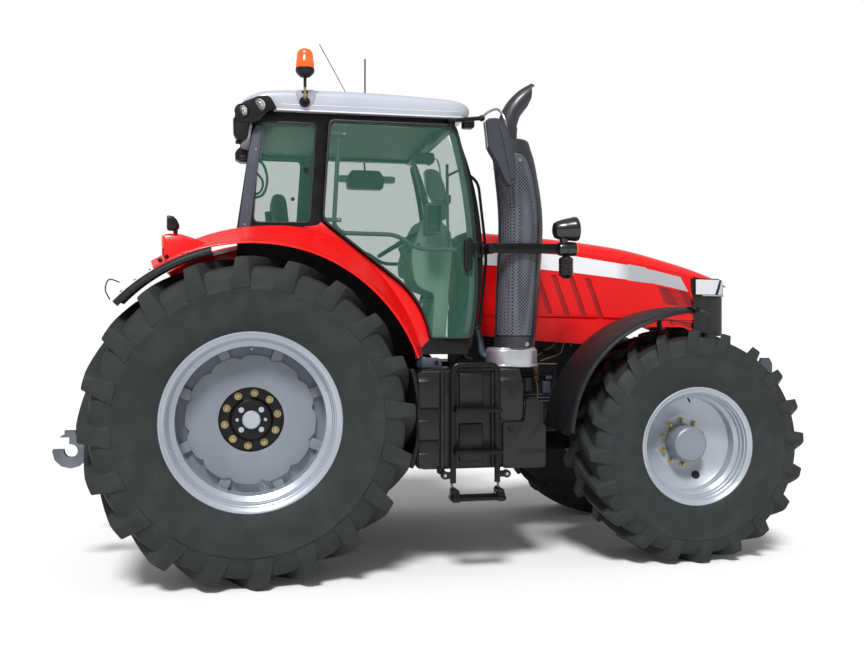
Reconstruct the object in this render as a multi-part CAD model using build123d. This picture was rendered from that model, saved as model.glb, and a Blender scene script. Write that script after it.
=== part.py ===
from build123d import *
from dataclasses import dataclass
from math import atan2, cos, degrees, pi, radians, sin, sqrt, tan
import os

# A four-wheel-drive farm tractor of the 250 horsepower class, in millimetres.
# X points forward, Y to the driver's left, Z up; the ground is Z = 0 and, while a piece is being
# made, the rear axle is X = 0. save() moves every piece so that the whole length is centred.

# ---- Stance --------------------------------------------------------------------------------------
WHEELBASE = 3000.0
REAR_REACH = 1300.0  # hook tips behind the rear axle
FRONT_REACH = WHEELBASE + 1000  # front linkage ahead of the rear axle
REAR_AXLE_X = (REAR_REACH - FRONT_REACH) / 2  # rear axle once the length is centred
SEAT_GAP = 0.3  # between two pieces that rest on each other across a joint
RUN_GAP = 6.0  # between pieces that pass each other
FLAT_WITHIN = 0.001  # four corners this near one plane, in millimetres, make one facet
BOW_CHORDS = 4  # chords in a bowed edge
TUB_HALF = 552.0  # inner tub between the rear wheels
TUB_TYRE_GAP = 28.0


@dataclass(frozen=True)
class Wheel:
    """One tyre size with its rim, about an axle along Y at the origin, outer side to +Y."""

    radius: float  # over the lugs
    width: float  # over the sidewalls
    bead_r: float  # where the tyre sits on the rim
    rim_width: float  # between the flanges
    flange_h: float  # rim flange above the bead seat
    lug_h: float  # lug tip above the carcass
    centre_y: float  # wheel's centre plane from the tractor's
    well_depth: float  # drop well below the bead seat


REAR = Wheel(
    radius=1030,
    width=710,
    bead_r=533,
    rim_width=610,
    flange_h=26,
    lug_h=55,
    centre_y=TUB_HALF + TUB_TYRE_GAP + 710 / 2,
    well_depth=55,
)
FRONT = Wheel(
    radius=800, width=600, bead_r=381, rim_width=510, flange_h=25, lug_h=48, centre_y=885, well_depth=45
)
LUGS_PER_SIDE = 20
LUG_FOOT = 130.0  # lug's length round the tyre at its foot and tip, on the rear tyre
LUG_TIP = 80.0
LUG_SWEEP = 250.0  # how far round the tyre a lug runs from the middle to the shoulder
LUG_FOOT_R = 0.80  # lug's foot on the sidewall, as a share of the tyre's radius
BULGE_R = 0.72  # widest place of the sidewall, as a share of the tyre's radius
CROWN_SHARE = 0.86  # flat crown, as a share of the tyre's width
RIM_SHEET = 12.0
WELL_RUN = 95.0  # from the flange to the drop well
REAR_DISH_Y = 90.0  # dish plate's inner face from the wheel's centre plane
REAR_DISH_R = 410.0
REAR_DISH_THICK = 14.0
REAR_DISH_BORE = 205.0
REAR_DISH_LOBES = 12
REAR_DISH_WAVE = 24.0
REAR_DISH_EARS = 8
REAR_HUB_IN_Y = -80.0
FRONT_DISH_Y = 15.0  # dish's outer face at the hub from the wheel's centre plane
FRONT_DISH_SHARE = 0.6  # flat part of the dish, as a share of the well's radius
FRONT_DISH_RISE = 60.0
FRONT_CAP_R = 120.0
FRONT_CAP_LEN = 150.0

# ---- Cab -----------------------------------------------------------------------------------------
CAB_SILL_Z = 1470.0
CAB_TOP_Z = 3050.0
CAB_HALF = 880.0  # doors' outer face at the sill
CAB_LEAN = 3.0  # degrees that the cab's sides lean in
PILLAR_DEPTH = 60.0
DOOR_THICK = 40.0
DOOR_RIM = 38.0
GLASS_THICK = 6.0
GLASS_SET_IN = 12.0
FLOOR_THICK = 40.0
TUB_WALL = 16.0
TUB_REAR_X = -90.0
RING_OUT = CAB_HALF - DOOR_THICK - SEAT_GAP  # outer face of the cab's side frame at the sill
RING_IN = RING_OUT - PILLAR_DEPTH

# ---- Bonnet --------------------------------------------------------------------------------------
HOOD_WALL = 14.0
HOOD_HINGE = (1650.0, 2262.0)  # hinge pins, x and z

# ---- Chassis -------------------------------------------------------------------------------------
FRAME_HALF = 185.0
TRANNY_HALF = 260.0
ENGINE_REAR_X = 1560.0
AXLE_BEAM_Z = 700.0
KINGPIN_Y = 690.0
STEER_ARM = 200.0
STEER_ROD_R = 16.0
LINK_PIVOT = (-100.0, 560.0)  # lower links' front pins, x and z
LINK_HOOK = (-1175.0, 790.0)
LINK_IN_Y = 430.0
LIFT_SHAFT = (-250.0, 1420.0)
LIFT_ARM_END = (-650.0, 1475.0)
LIFT_ARM_IN_Y = 330.0
LIFT_ROD_IN_Y = 376.0
ROD_FOOT = (-700.0, 688.0)
TOP_LINK_PIN = (-450.0, 1150.0)
FRONT_SHAFT = (WHEELBASE + 890, 720.0)  # front linkage's cross shaft
FRONT_LINK_IN_Y = 370.0


# ---- Drawing helpers -----------------------------------------------------------------------------
def face_of(start, *legs):
    """Closed face; a leg is an end point, or an end point and a point that its bow of chords passes."""
    points = [start]
    for leg in legs:
        if len(leg) == 4:
            arc = ThreePointArc(points[-1], leg[2:], leg[:2])
            bends = [arc @ (i / BOW_CHORDS) for i in range(1, BOW_CHORDS)]
            points += [(bend.X, bend.Y) for bend in bends]
        points.append(leg[:2])
    if points[-1] == start:
        points.pop()
    return make_face(Polyline(*points, close=True))


def across(face, y0, y1):
    """Solid of a face drawn with X forward and Z up, from y0 to y1."""
    return extrude(Pos(0, y0, 0) * (Plane.XZ * face), amount=y1 - y0, dir=(0, 1, 0))


def upright(face, z0, z1):
    """Solid of a face drawn with X forward and Y left, from z0 to z1."""
    return extrude(Pos(0, 0, z0) * face, amount=z1 - z0)


def block(x0, x1, y0, y1, z0, z1):
    """Box between limits."""
    return Pos((x0 + x1) / 2, (y0 + y1) / 2, (z0 + z1) / 2) * Box(x1 - x0, y1 - y0, z1 - z0)


def beside(half, x0, x1, y0, z0, z1):
    """Box from y0 out to half, and its mirror image, as one shape to fuse or cut."""
    left = block(x0, x1, y0, half, z0, z1)
    return left + mirror(left, about=Plane.XZ)


def rod(start, end, radius, sides=8):
    """Straight many-sided bar between two points."""
    axis = Vector(*end) - Vector(*start)
    return Plane(origin=start, z_dir=axis) * extrude(RegularPolygon(radius, sides), amount=axis.length)


def bent_rod(points, radius, sides=6):
    """Thin bar of few sides along straight runs with mitred corners."""
    path = Polyline(*points)
    section = Plane(origin=path @ 0, z_dir=path % 0) * RegularPolygon(radius, sides)
    return sweep(section, path=path, transition=Transition.RIGHT)


def faceted(rows):
    """Solid skinned with flat facets through rows of as many points each, its end rows closed flat."""
    faces = [Face(Wire.make_polygon(row, close=True)) for row in (rows[0], rows[-1])]
    for low, high in zip(rows, rows[1:]):
        for i in range(len(low)):
            a, b, c, d = (Vector(*point) for point in (low[i - 1], low[i], high[i], high[i - 1]))
            side, rise = b - a, d - a
            flat = abs(side.cross(rise).dot(c - a)) < FLAT_WITHIN * side.length * rise.length
            for corners in ((a, b, c, d),) if flat else ((a, b, c), (a, c, d)):
                faces.append(Face(Wire.make_polygon(corners, close=True)))
    return Solid(Shell(faces))


def disc(x, z, y0, y1, radius, sides=12):
    """Many-sided disc along Y between y0 and y1."""
    return Pos(x, 0, z) * frustum(y0, radius, y1, radius, sides)


def post(x, y, z0, z1, radius, sides=12):
    """Many-sided post along Z between z0 and z1."""
    return Pos(x, y, z0) * extrude(RegularPolygon(radius, sides), amount=z1 - z0)


def bar(a, b, width, y0, y1):
    """Flat bar between two pins, its ends cut to half octagons."""
    dx, dz = b[0] - a[0], b[1] - a[1]
    length = sqrt(dx * dx + dz * dz)
    ux, uz, half = dx / length, dz / length, width / 2
    flat = half * tan(pi / 8)
    outline = []
    for (x, z), way in ((a, -1), (b, 1)):
        for along, aside in ((flat, half), (half, flat), (half, -flat), (flat, -half)):
            outline.append((x + way * (ux * along - uz * aside), z + way * (uz * along + ux * aside)))
    return across(make_face(Polyline(*outline, close=True)), y0, y1)


def together(*shapes):
    """Separate solids as one node."""
    return Compound([solid for shape in shapes for solid in shape.solids()])


def both(solid):
    """A left-hand piece and its mirror image on the right."""
    return together(solid, mirror(solid, about=Plane.XZ))


def leaning(solid):
    """Left-hand cab side, leant in about the sill."""
    return Pos(0, CAB_HALF, CAB_SILL_Z) * Rot(CAB_LEAN, 0, 0) * Pos(0, -CAB_HALF, -CAB_SILL_Z) * solid


def save(name, shape):
    """Write one node, moved so that the tractor's length is centred."""
    placed = [Pos(REAR_AXLE_X, 0, 0) * solid for solid in shape.solids()]
    export_step(placed[0] if len(placed) == 1 else Compound(placed), f"parts/{name}.step")


def save_pair(name, solid):
    """Write a left-hand piece and its mirror image as two nodes."""
    save(f"{name}_left", solid)
    save(f"{name}_right", mirror(solid, about=Plane.XZ))


# ---- Wheels --------------------------------------------------------------------------------------
RING_SIDES = 20  # tyres and rims are made of flat facets
HUB_SIDES = 12


def stack(rows, sides=RING_SIDES):
    """Many-sided body about Y through rows of distance and corner radius; a repeated distance is a step."""
    turns = [2 * pi * i / sides for i in range(sides)]
    return faceted([[(r * cos(turn), y, r * sin(turn)) for turn in turns] for y, r in rows])


def frustum(y0, r0, y1, r1, sides=RING_SIDES):
    """Many-sided frustum along Y, with corner radius r0 at y0 and r1 at y1."""
    return stack(((y0, r0), (y1, r1)), sides)


def mirrored_rows(rows):
    """Rows for both sides from those of the outer half, listed from the outer edge inward."""
    return [(-y, r) for y, r in rows] + [(y, r) for y, r in reversed(rows)]


def carcass(w):
    """Tyre without its lugs: crown, sidewalls and the bore that sits on the rim."""
    half, flange_y = w.width / 2, w.rim_width / 2 - SEAT_GAP
    bulge_r, crown_r = BULGE_R * w.radius, w.radius - w.lug_h
    clear_r = w.bead_r + w.flange_h + RUN_GAP
    bead_y = half - (half - flange_y) * (bulge_r - w.bead_r) / (bulge_r - clear_r)
    outer = stack(mirrored_rows([(half, bulge_r), (CROWN_SHARE * half, crown_r)]))
    return outer - stack(mirrored_rows([(half, bulge_r), (bead_y, w.bead_r)]))


def lug(w):
    """One bar of the chevron, from past the middle to the shoulder, and how far its corners lead its centre."""
    half, size = w.width / 2, w.radius / REAR.radius
    y_in, y_out = -0.1 * half, half - 3
    sweep_half, foot, tip = LUG_SWEEP * size / 2, LUG_FOOT * size / 2, LUG_TIP * size / 2
    length = y_out - y_in
    inset = (foot - tip) * length / sqrt(length**2 + 4 * sweep_half**2)
    corner = sweep_half * (1 - 2 * inset / length) + tip
    low, high = LUG_FOOT_R * w.radius, sqrt(w.radius**2 - corner**2)

    def outline(y0, y1, half_run, z):
        """Corners of a slanted bar at one height."""
        lead0, lead1 = (sweep_half * (1 - 2 * (y - y_in) / length) for y in (y0, y1))
        start, end = (lead0 - half_run, lead0 + half_run), (lead1 + half_run, lead1 - half_run)
        return [(x, y0, z) for x in start] + [(x, y1, z) for x in end]

    bar_solid = faceted([outline(y_in, y_out, foot, low), outline(y_in + inset, y_out - inset, tip, high)])
    return bar_solid, degrees(atan2(corner, high))


def tyre(w):
    """Carcass with the lugs of both sides fused on, half a pitch apart, standing on a lug's corner."""
    left, lead = lug(w)
    right = mirror(left, about=Plane.XZ)
    pitch = 360 / LUGS_PER_SIDE
    bars = []
    for i in range(LUGS_PER_SIDE):
        bars.append(Rot(0, lead + i * pitch, 0) * left)
        bars.append(Rot(0, lead + (i + 0.5) * pitch, 0) * right)
    return carcass(w) + bars


def rim(w):
    """Barrel with flanges, its inside stepped in to the drop well."""
    half, bead_r, well_r = w.rim_width / 2, w.bead_r - SEAT_GAP, w.bead_r - w.well_depth
    flange_r, edge = w.bead_r + w.flange_h, half + RIM_SHEET
    outer = stack(mirrored_rows([(edge, flange_r), (half, flange_r), (half, bead_r)]))
    return outer - stack(mirrored_rows([(edge, bead_r - RIM_SHEET), (half - WELL_RUN, well_r - RIM_SHEET)]))


def dish_plate(radius, lobes, depth):
    """Flat plate with a scalloped edge of straight cuts."""
    points = []
    for i in range(lobes):
        for share, inset in ((0.14, depth), (0.32, 0), (0.68, 0), (0.86, depth)):
            turn = (i + share) * 2 * pi / lobes
            points.append(((radius - inset) * cos(turn), (radius - inset) * sin(turn)))
    return make_face(Polyline(*points, close=True))


def rear_wheel():
    """Rim, its welded ears, the scalloped dish plate and the axle flange behind the plate's bore."""
    ear_r = REAR.bead_r - REAR.well_depth - RIM_SHEET / 2
    front = REAR_DISH_Y + REAR_DISH_THICK
    plate = across(dish_plate(REAR_DISH_R, REAR_DISH_LOBES, REAR_DISH_WAVE), REAR_DISH_Y, front)
    plate -= frustum(REAR_DISH_Y, REAR_DISH_BORE, front, REAR_DISH_BORE, HUB_SIDES)
    ears = []
    for i in range(REAR_DISH_EARS):
        ear = block(REAR_DISH_R - 60, ear_r, REAR_DISH_Y - 16, REAR_DISH_Y, -35, 35)
        ears.append(Rot(0, (i + 0.5) * 360 / REAR_DISH_EARS, 0) * ear)
    seat_r = REAR_DISH_BORE + 35
    hub = stack(((REAR_HUB_IN_Y, 130), (REAR_DISH_Y - 30, seat_r), (REAR_DISH_Y, seat_r)), HUB_SIDES)
    hub += frustum(REAR_DISH_Y, 110, front, 100, HUB_SIDES)
    return rim(REAR) + ears + plate + hub


def front_wheel():
    """Rim, deep dish and planetary hub cap."""
    well_r = FRONT.bead_r - FRONT.well_depth - RIM_SHEET / 2
    seat_r, rim_y = FRONT_DISH_SHARE * well_r, FRONT_DISH_Y + FRONT_DISH_RISE
    dish = frustum(FRONT_DISH_Y, seat_r, rim_y, well_r)
    dish -= frustum(FRONT_DISH_Y + RIM_SHEET, seat_r, rim_y + RIM_SHEET, well_r)
    dish += frustum(FRONT_DISH_Y - RIM_SHEET, seat_r, FRONT_DISH_Y + 1, seat_r)
    cap_end = FRONT_DISH_Y + FRONT_CAP_LEN
    cap_rows = ((FRONT_DISH_Y, FRONT_CAP_R + 8), (cap_end - 15, FRONT_CAP_R), (cap_end, FRONT_CAP_R - 18))
    cap = stack(cap_rows, HUB_SIDES)
    return rim(FRONT) + dish + cap


def make_wheels():
    """Tyres and wheels of both axles."""
    axles = (("rear", REAR, 0.0, rear_wheel()), ("front", FRONT, WHEELBASE, front_wheel()))
    for name, w, x, wheel in axles:
        place = Pos(x, w.centre_y, w.radius)
        save_pair(f"{name}_tyre", place * tyre(w))
        save_pair(f"{name}_wheel", place * wheel)


# ---- Front axle ----------------------------------------------------------------------------------
BEAM_HALF_H = 80.0
BEAM_HALF_W = 85.0
BEAM_END = KINGPIN_Y - 130
BOSS_HALF_H = 105.0
BOSS_Z = FRONT.radius - 5
EAR_THICK = 40.0
EYE_Z = 745.0  # steering rod's height
EYE_Y = KINGPIN_Y - 30
EYE_R = 34.0
BARREL_X = WHEELBASE - STEER_ARM
BARREL_R = 46.0
SPINDLE_R = 110.0


def make_front_axle():
    """Beam with kingpin bosses, steering cylinder, knuckles and the double-ended rod."""
    axle_x = WHEELBASE
    beam_x = axle_x - BEAM_HALF_W, axle_x + BEAM_HALF_W
    beam = block(*beam_x, -BEAM_END, BEAM_END, AXLE_BEAM_Z - BEAM_HALF_H, AXLE_BEAM_Z + BEAM_HALF_H)
    beam += post(axle_x, 0, AXLE_BEAM_Z - 90, AXLE_BEAM_Z + 90, 150)
    for side in (-1, 1):
        beam += post(axle_x, side * KINGPIN_Y, BOSS_Z - BOSS_HALF_H, BOSS_Z + BOSS_HALF_H, 68, 8)
    beam += beside(KINGPIN_Y, axle_x - 55, axle_x + 55, BEAM_END - 10, 700, 770)
    beam += disc(BARREL_X, EYE_Z, -250, 250, BARREL_R)
    beam += beside(200, BARREL_X + 20, axle_x - 60, 160, EYE_Z - 40, EYE_Z + 20)
    save("front_axle", beam - disc(BARREL_X, EYE_Z, -250, 250, STEER_ROD_R + SEAT_GAP))

    rod_bar = disc(BARREL_X, EYE_Z, -EYE_Y, EYE_Y, STEER_ROD_R)
    for side in (-1, 1):
        rod_bar += post(BARREL_X, side * EYE_Y, EYE_Z - 20, EYE_Z + 20, EYE_R, 8)
    save("steering_rod", rod_bar)

    spindle_end = FRONT.centre_y + FRONT_DISH_Y - RIM_SHEET - SEAT_GAP
    plate_y = KINGPIN_Y + 85
    knuckle = disc(axle_x, FRONT.radius, plate_y + 25, spindle_end, SPINDLE_R)
    knuckle += block(axle_x - 90, axle_x + 90, plate_y, plate_y + 35, FRONT.radius - 160, FRONT.radius + 150)
    for z in (BOSS_Z - BOSS_HALF_H - SEAT_GAP - EAR_THICK, BOSS_Z + BOSS_HALF_H + SEAT_GAP):
        knuckle += post(axle_x, KINGPIN_Y, z, z + EAR_THICK, 66, 8)
        knuckle += block(axle_x - 60, axle_x + 60, KINGPIN_Y, plate_y + 15, z, z + EAR_THICK)
    arm_top = EYE_Z - 20 - RUN_GAP
    knuckle += block(BARREL_X - EYE_R, axle_x - 75, plate_y - 30, plate_y + 10, arm_top - 30, arm_top)
    knuckle += block(BARREL_X - EYE_R, BARREL_X + EYE_R, EYE_Y - EYE_R, plate_y + 10, arm_top - 30, arm_top)
    save_pair("knuckle", knuckle)


# ---- Front fenders -------------------------------------------------------------------------------
FENDER_R = 945.0  # underside above the front axle
FENDER_SHEET = 8.0
FENDER_IN_Y = 680.0
FENDER_OUT_Y = 1200.0
FENDER_FROM = 8.0  # degrees up from the rear
FENDER_TO = 101.0
FENDER_POST_Y = 535.0
FENDER_POST_R = 20.0


def ring_sector(radius, thick, start, stop, centre, steps=9):
    """Face between two rows of chords, from start to stop degrees measured up from the rear."""
    turns = [radians(start + (stop - start) * i / steps) for i in range(steps + 1)]
    inner, outer = (
        [(centre[0] - r * cos(turn), centre[1] + r * sin(turn)) for turn in turns]
        for r in (radius, radius + thick)
    )
    return make_face(Polyline(*inner, *reversed(outer), close=True))


def make_front_fenders():
    """Plastic arch on a post that swivels on top of the kingpin."""
    hub = (WHEELBASE, FRONT.radius)
    sheet = ring_sector(FENDER_R, FENDER_SHEET, FENDER_FROM, FENDER_TO, hub)
    arch = across(sheet, FENDER_IN_Y, FENDER_OUT_Y)
    lip = ring_sector(FENDER_R - 22, 22 + FENDER_SHEET / 2, FENDER_FROM, FENDER_TO, hub)
    arch += across(lip, FENDER_OUT_Y - FENDER_SHEET, FENDER_OUT_Y)
    pivot_z = BOSS_Z + BOSS_HALF_H + EAR_THICK + 2 * SEAT_GAP
    arm_z, top_z = pivot_z + 20, FRONT.radius + FENDER_R - FENDER_POST_R + FENDER_SHEET
    stand = post(WHEELBASE, KINGPIN_Y, pivot_z, pivot_z + 40, 45)
    stand += bent_rod(
        [
            (WHEELBASE, KINGPIN_Y, arm_z),
            (WHEELBASE, FENDER_POST_Y, arm_z),
            (WHEELBASE, FENDER_POST_Y, top_z),
            (WHEELBASE, FENDER_OUT_Y - 60, top_z),
        ],
        FENDER_POST_R,
    )
    save_pair("front_fender", arch + stand)


# ---- Chassis -------------------------------------------------------------------------------------
FRAME_FRONT_X = WHEELBASE + 740
ENGINE_HALF = 280.0
ENGINE_NARROW_X = WHEELBASE - 720  # ahead of here the engine leaves room for the steered wheels
SUMP_Z = 828.0
ENGINE_TOP_Z = 1750.0
TRANNY_TOP_Z = 1420.0
TRANNY_FOOT_Z = 620.0
TRANNY_REAR_X = -400.0
PTO_Z = 760.0
PTO_R = 17.46


def make_chassis():
    """Transmission with axle trumpets, engine, front frame, front linkage."""
    tranny = across(
        face_of(
            (TRANNY_REAR_X, TRANNY_FOOT_Z),
            (1400, TRANNY_FOOT_Z),
            (ENGINE_REAR_X, 700),
            (ENGINE_REAR_X, 1300),
            (1100, TRANNY_TOP_Z),
            (-300, TRANNY_TOP_Z),
            (TRANNY_REAR_X, 1330),
        ),
        -TRANNY_HALF,
        TRANNY_HALF,
    )
    trumpet_end = REAR.centre_y + REAR_HUB_IN_Y - SEAT_GAP
    tranny += disc(0, REAR.radius, 100 - trumpet_end, trumpet_end - 100, 170, HUB_SIDES)
    for side in (-1, 1):
        y0, y1 = sorted((side * (trumpet_end - 110), side * trumpet_end))
        tranny += disc(0, REAR.radius, y0, y1, 205, HUB_SIDES)
    tranny += disc(*LIFT_SHAFT, SEAT_GAP - LIFT_ARM_IN_Y, LIFT_ARM_IN_Y - SEAT_GAP, 60)
    pivot_x, pivot_z = LINK_PIVOT
    lug_x = pivot_x - 60, pivot_x + 60
    tranny += beside(LINK_IN_Y - SEAT_GAP, *lug_x, 200, pivot_z - 60, TRANNY_FOOT_Z + 20)
    pin_x, pin_z = TOP_LINK_PIN
    tranny += beside(60, pin_x - 40, TRANNY_REAR_X + 10, 30 + SEAT_GAP, pin_z - 50, pin_z + 50)
    tranny += rod((TRANNY_REAR_X + 10, 0, PTO_Z), (TRANNY_REAR_X - 40, 0, PTO_Z), 70, 12)
    tranny += beside(210, TRANNY_REAR_X - 70, TRANNY_REAR_X + 10, 90, 1180, 1300)
    save("transmission", tranny)
    stub = Pos(TRANNY_REAR_X - 40 - SEAT_GAP - 45, 0, PTO_Z) * Rot(0, 90, 0) * Cylinder(PTO_R, 90)
    save("pto_shaft", stub)

    engine_z = SUMP_Z + SEAT_GAP, ENGINE_TOP_Z
    engine = block(ENGINE_REAR_X + SEAT_GAP, ENGINE_NARROW_X, -ENGINE_HALF, ENGINE_HALF, *engine_z)
    engine += block(ENGINE_NARROW_X - 10, WHEELBASE - 250, -FRAME_HALF, FRAME_HALF, *engine_z)
    hinge_x, hinge_z = HOOD_HINGE
    engine += block(hinge_x - 30, hinge_x + 30, -150, 150, ENGINE_TOP_Z - 10, hinge_z - 12)
    engine += disc(hinge_x, hinge_z, -150, 150, 24)
    save("engine_block", engine)

    frame = across(
        face_of(
            (1600, 680),
            (WHEELBASE - 500, 680),
            (WHEELBASE - 380, 800),
            (FRAME_FRONT_X, 800),
            (FRAME_FRONT_X, 1120),
            (WHEELBASE - 240, 1120),
            (WHEELBASE - 240, SUMP_Z),
            (1600, SUMP_Z),
        ),
        -FRAME_HALF,
        FRAME_HALF,
    )
    frame += post(WHEELBASE, 0, AXLE_BEAM_Z + 90 + SEAT_GAP, 810, 120)
    shaft_x, shaft_z = FRONT_SHAFT
    cheek = face_of(
        (FRAME_FRONT_X - 5, shaft_z - 80),
        (shaft_x + 60, shaft_z - 80),
        (shaft_x + 60, 900),
        (FRAME_FRONT_X + 60, 1100),
        (FRAME_FRONT_X - 5, 1100),
    )
    for y0, y1 in ((-FRAME_HALF, -120), (120, FRAME_HALF)):
        frame += across(cheek, y0, y1)
    frame += disc(shaft_x, shaft_z, SEAT_GAP - FRONT_LINK_IN_Y, FRONT_LINK_IN_Y - SEAT_GAP, 38)
    frame += block(WHEELBASE + 540, WHEELBASE + 600, -150, 150, 1110, GRILLE_FOOT_Z - SEAT_GAP)
    save("front_frame", frame)

    link = across(
        face_of(
            (shaft_x - 60, shaft_z),
            (shaft_x - 42, shaft_z - 42),
            (shaft_x + 42, shaft_z - 42),
            (shaft_x + 60, shaft_z),
            (FRONT_REACH - 8, 900),
            (FRONT_REACH, 1330),
            (FRONT_REACH - 25, 1375),
            (FRONT_REACH - 85, 1375),
            (FRONT_REACH - 108, 1310),
            (FRONT_REACH - 90, 900),
        ),
        FRONT_LINK_IN_Y,
        FRONT_LINK_IN_Y + 40,
    )
    save("front_links", both(link))


# ---- Rear hitch ----------------------------------------------------------------------------------
HOOK_R = 118.0
HOOK_SEAT_R = 45.0
DRAWBAR_TOP_Z = 465.0
DRAWBAR_PIN_X = -740.0
DRAWBAR_PIN_R = 16.5


def make_rear_hitch():
    """Lower links with hooks, lift arms, lift rods, top link and drawbar."""
    hook_x, hook_z = LINK_HOOK
    y0, y1 = LINK_IN_Y - 10, LINK_IN_Y + 42
    link = bar(LINK_PIVOT, (hook_x + 60, hook_z - 12), 90, LINK_IN_Y, LINK_IN_Y + 32)
    link += disc(hook_x, hook_z, y0, y1, HOOK_R)
    link += block(hook_x - 40, hook_x + 30, y0, y1, hook_z, hook_z + 135)
    link -= disc(hook_x, hook_z, y0, y1, HOOK_SEAT_R)
    link -= block(hook_x - 130, hook_x - 10, y0, y1, hook_z + 10, hook_z + 90)
    save("lower_links", both(link))

    save("lift_arms", both(bar(LIFT_SHAFT, LIFT_ARM_END, 100, LIFT_ARM_IN_Y, LIFT_ARM_IN_Y + 40)))
    strut = bar(LIFT_ARM_END, ROD_FOOT, 60, LIFT_ROD_IN_Y, LIFT_ROD_IN_Y + 34)
    strut += disc(*LIFT_ARM_END, LIFT_ARM_IN_Y + 40 + SEAT_GAP, LIFT_ROD_IN_Y + 10, 24, 8)
    strut += disc(*ROD_FOOT, LIFT_ROD_IN_Y + 24, LINK_IN_Y - SEAT_GAP, 24, 8)
    save("lift_rods", both(strut))
    save("top_link", bar(TOP_LINK_PIN, (-560, 1760), 60, -30, 30))

    drawbar = block(-800, -50, -45, 45, DRAWBAR_TOP_Z - 45, DRAWBAR_TOP_Z)
    drawbar -= Pos(DRAWBAR_PIN_X, 0, DRAWBAR_TOP_Z) * Cylinder(DRAWBAR_PIN_R, 200)
    for x in (-330, -130):
        drawbar += block(x, x + 80, -90, 90, DRAWBAR_TOP_Z - 10, TRANNY_FOOT_Z - SEAT_GAP)
    save("drawbar", drawbar)


# ---- Cab -----------------------------------------------------------------------------------------
LEAN_TRIM = 20.0  # extra height that is cut level after a side is leant in
BEAM_SHY = 6.0
RAIL_R = 10.0


def cab_side_face():
    """Side frame's outline above the wheel arch: bowed front pillar, roof rail, rear pillar."""
    return face_of(
        (TUB_REAR_X - 8, CAB_SILL_Z - LEAN_TRIM),
        (1476, CAB_SILL_Z - LEAN_TRIM),
        (1357, CAB_TOP_Z + LEAN_TRIM, 1568, 2200),
        (22, CAB_TOP_Z + LEAN_TRIM),
        (TUB_REAR_X - 8, 2200),
    )


def door_face():
    """Door's outline, its lower rear edge curved over the wheel arch."""
    return face_of(
        (1190, 1535),
        (1478, 1535),
        (1520, 2150, 1523, 1850),
        (1385, 3010, 1478, 2600),
        (512, 3010),
        (465, 2330),
        (990, 1915),
        (1190, 1535, 1125, 1740),
    )


def grab_rail(radius):
    """Left-hand rail from the foot to the head of the front pillar, before the cab's side is leant in."""
    y = RING_OUT - 20
    run = ((1460, 1590), (1545, 1610), (1603, 2110), (1550, 2630), (1450, 2700))
    return bent_rod([(x, y, z) for x, z in run], radius)


def quarter_face():
    """Fixed rear side window."""
    return face_of((55, 2990), (435, 2990), (395, 2340), (10, 2330))


def shrunk(face, margin):
    """Face with its edges moved in by margin."""
    return offset(face, amount=-margin, kind=Kind.INTERSECTION)


def side_space(y0):
    """Everything outboard of a leaning plane that stands at y0 on the sill, on both sides."""
    left = leaning(block(-600, 2400, y0, y0 + 600, CAB_SILL_Z - 300, CAB_TOP_Z + 300))
    return left + mirror(left, about=Plane.XZ)


def make_cab():
    """Frame, floor tub, roof, fixed glass and doors."""
    wheel_arch = across(arch_region(SEAT_GAP), 400, 1000)
    ring = across(cab_side_face(), RING_IN, RING_OUT)
    ring -= across(shrunk(door_face(), 30), RING_IN - 1, RING_OUT + 1)
    ring -= across(quarter_face(), RING_IN - 1, RING_OUT + 1)
    ring += grab_rail(RAIL_R)
    side = leaning(ring) & block(-600, 2400, 0, 1200, CAB_SILL_Z + SEAT_GAP, CAB_TOP_Z - SEAT_GAP)
    side -= wheel_arch
    frame = side + mirror(side, about=Plane.XZ)
    for x0, x1, half, z0, z1 in (
        (1300, 1385, 740, CAB_TOP_Z - 75, CAB_TOP_Z - BEAM_SHY),
        (20, 100, 740, CAB_TOP_Z - 75, CAB_TOP_Z - BEAM_SHY),
        (1400, 1475, 790, CAB_SILL_Z + BEAM_SHY, CAB_SILL_Z + 62),
    ):
        frame += block(x0, x1, -half, half, z0, z1)
    save("cab_frame", frame)

    door = across(door_face(), CAB_HALF - DOOR_THICK, CAB_HALF)
    door -= across(shrunk(door_face(), DOOR_RIM), CAB_HALF - DOOR_THICK - 1, CAB_HALF + 1)
    door += block(1465, 1500, CAB_HALF - 10, CAB_HALF + 28, 1990, 2170)
    pane = shrunk(door_face(), DOOR_RIM + SEAT_GAP)
    glass = across(pane, CAB_HALF - GLASS_THICK - GLASS_SET_IN, CAB_HALF - GLASS_SET_IN)
    save_pair("door", leaning(door))
    save_pair("door_glass", leaning(glass))
    make_tub()
    make_cab_glass()
    make_roof()


def make_tub():
    """Floor, the tub's side walls up to the wheel arches, rear wall and mounts."""
    floor_z = CAB_SILL_Z - FLOOR_THICK
    tub = block(1120, 1460, -RING_OUT, RING_OUT, floor_z, CAB_SILL_Z)
    tub += block(TUB_REAR_X, 1180, -TUB_HALF, TUB_HALF, floor_z, CAB_SILL_Z)
    tub += block(TUB_REAR_X, TUB_REAR_X + TUB_WALL, -TUB_HALF, TUB_HALF, floor_z, 2000)
    for x in (0, 940):
        tub += beside(240, x, x + 140, 120, TRANNY_TOP_Z + SEAT_GAP, floor_z + 1)
    wall = across(arch_region(0), TUB_HALF - TUB_WALL, TUB_HALF)
    wall &= block(TUB_REAR_X, 1200, 0, TUB_HALF, floor_z, 2400)
    outside_arch = across(arch_region(SEAT_GAP), TUB_HALF + SEAT_GAP, RING_OUT + 10)
    tub -= outside_arch
    tub -= mirror(outside_arch, about=Plane.XZ)
    save("cab_floor", tub + wall + mirror(wall, about=Plane.XZ))


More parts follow.
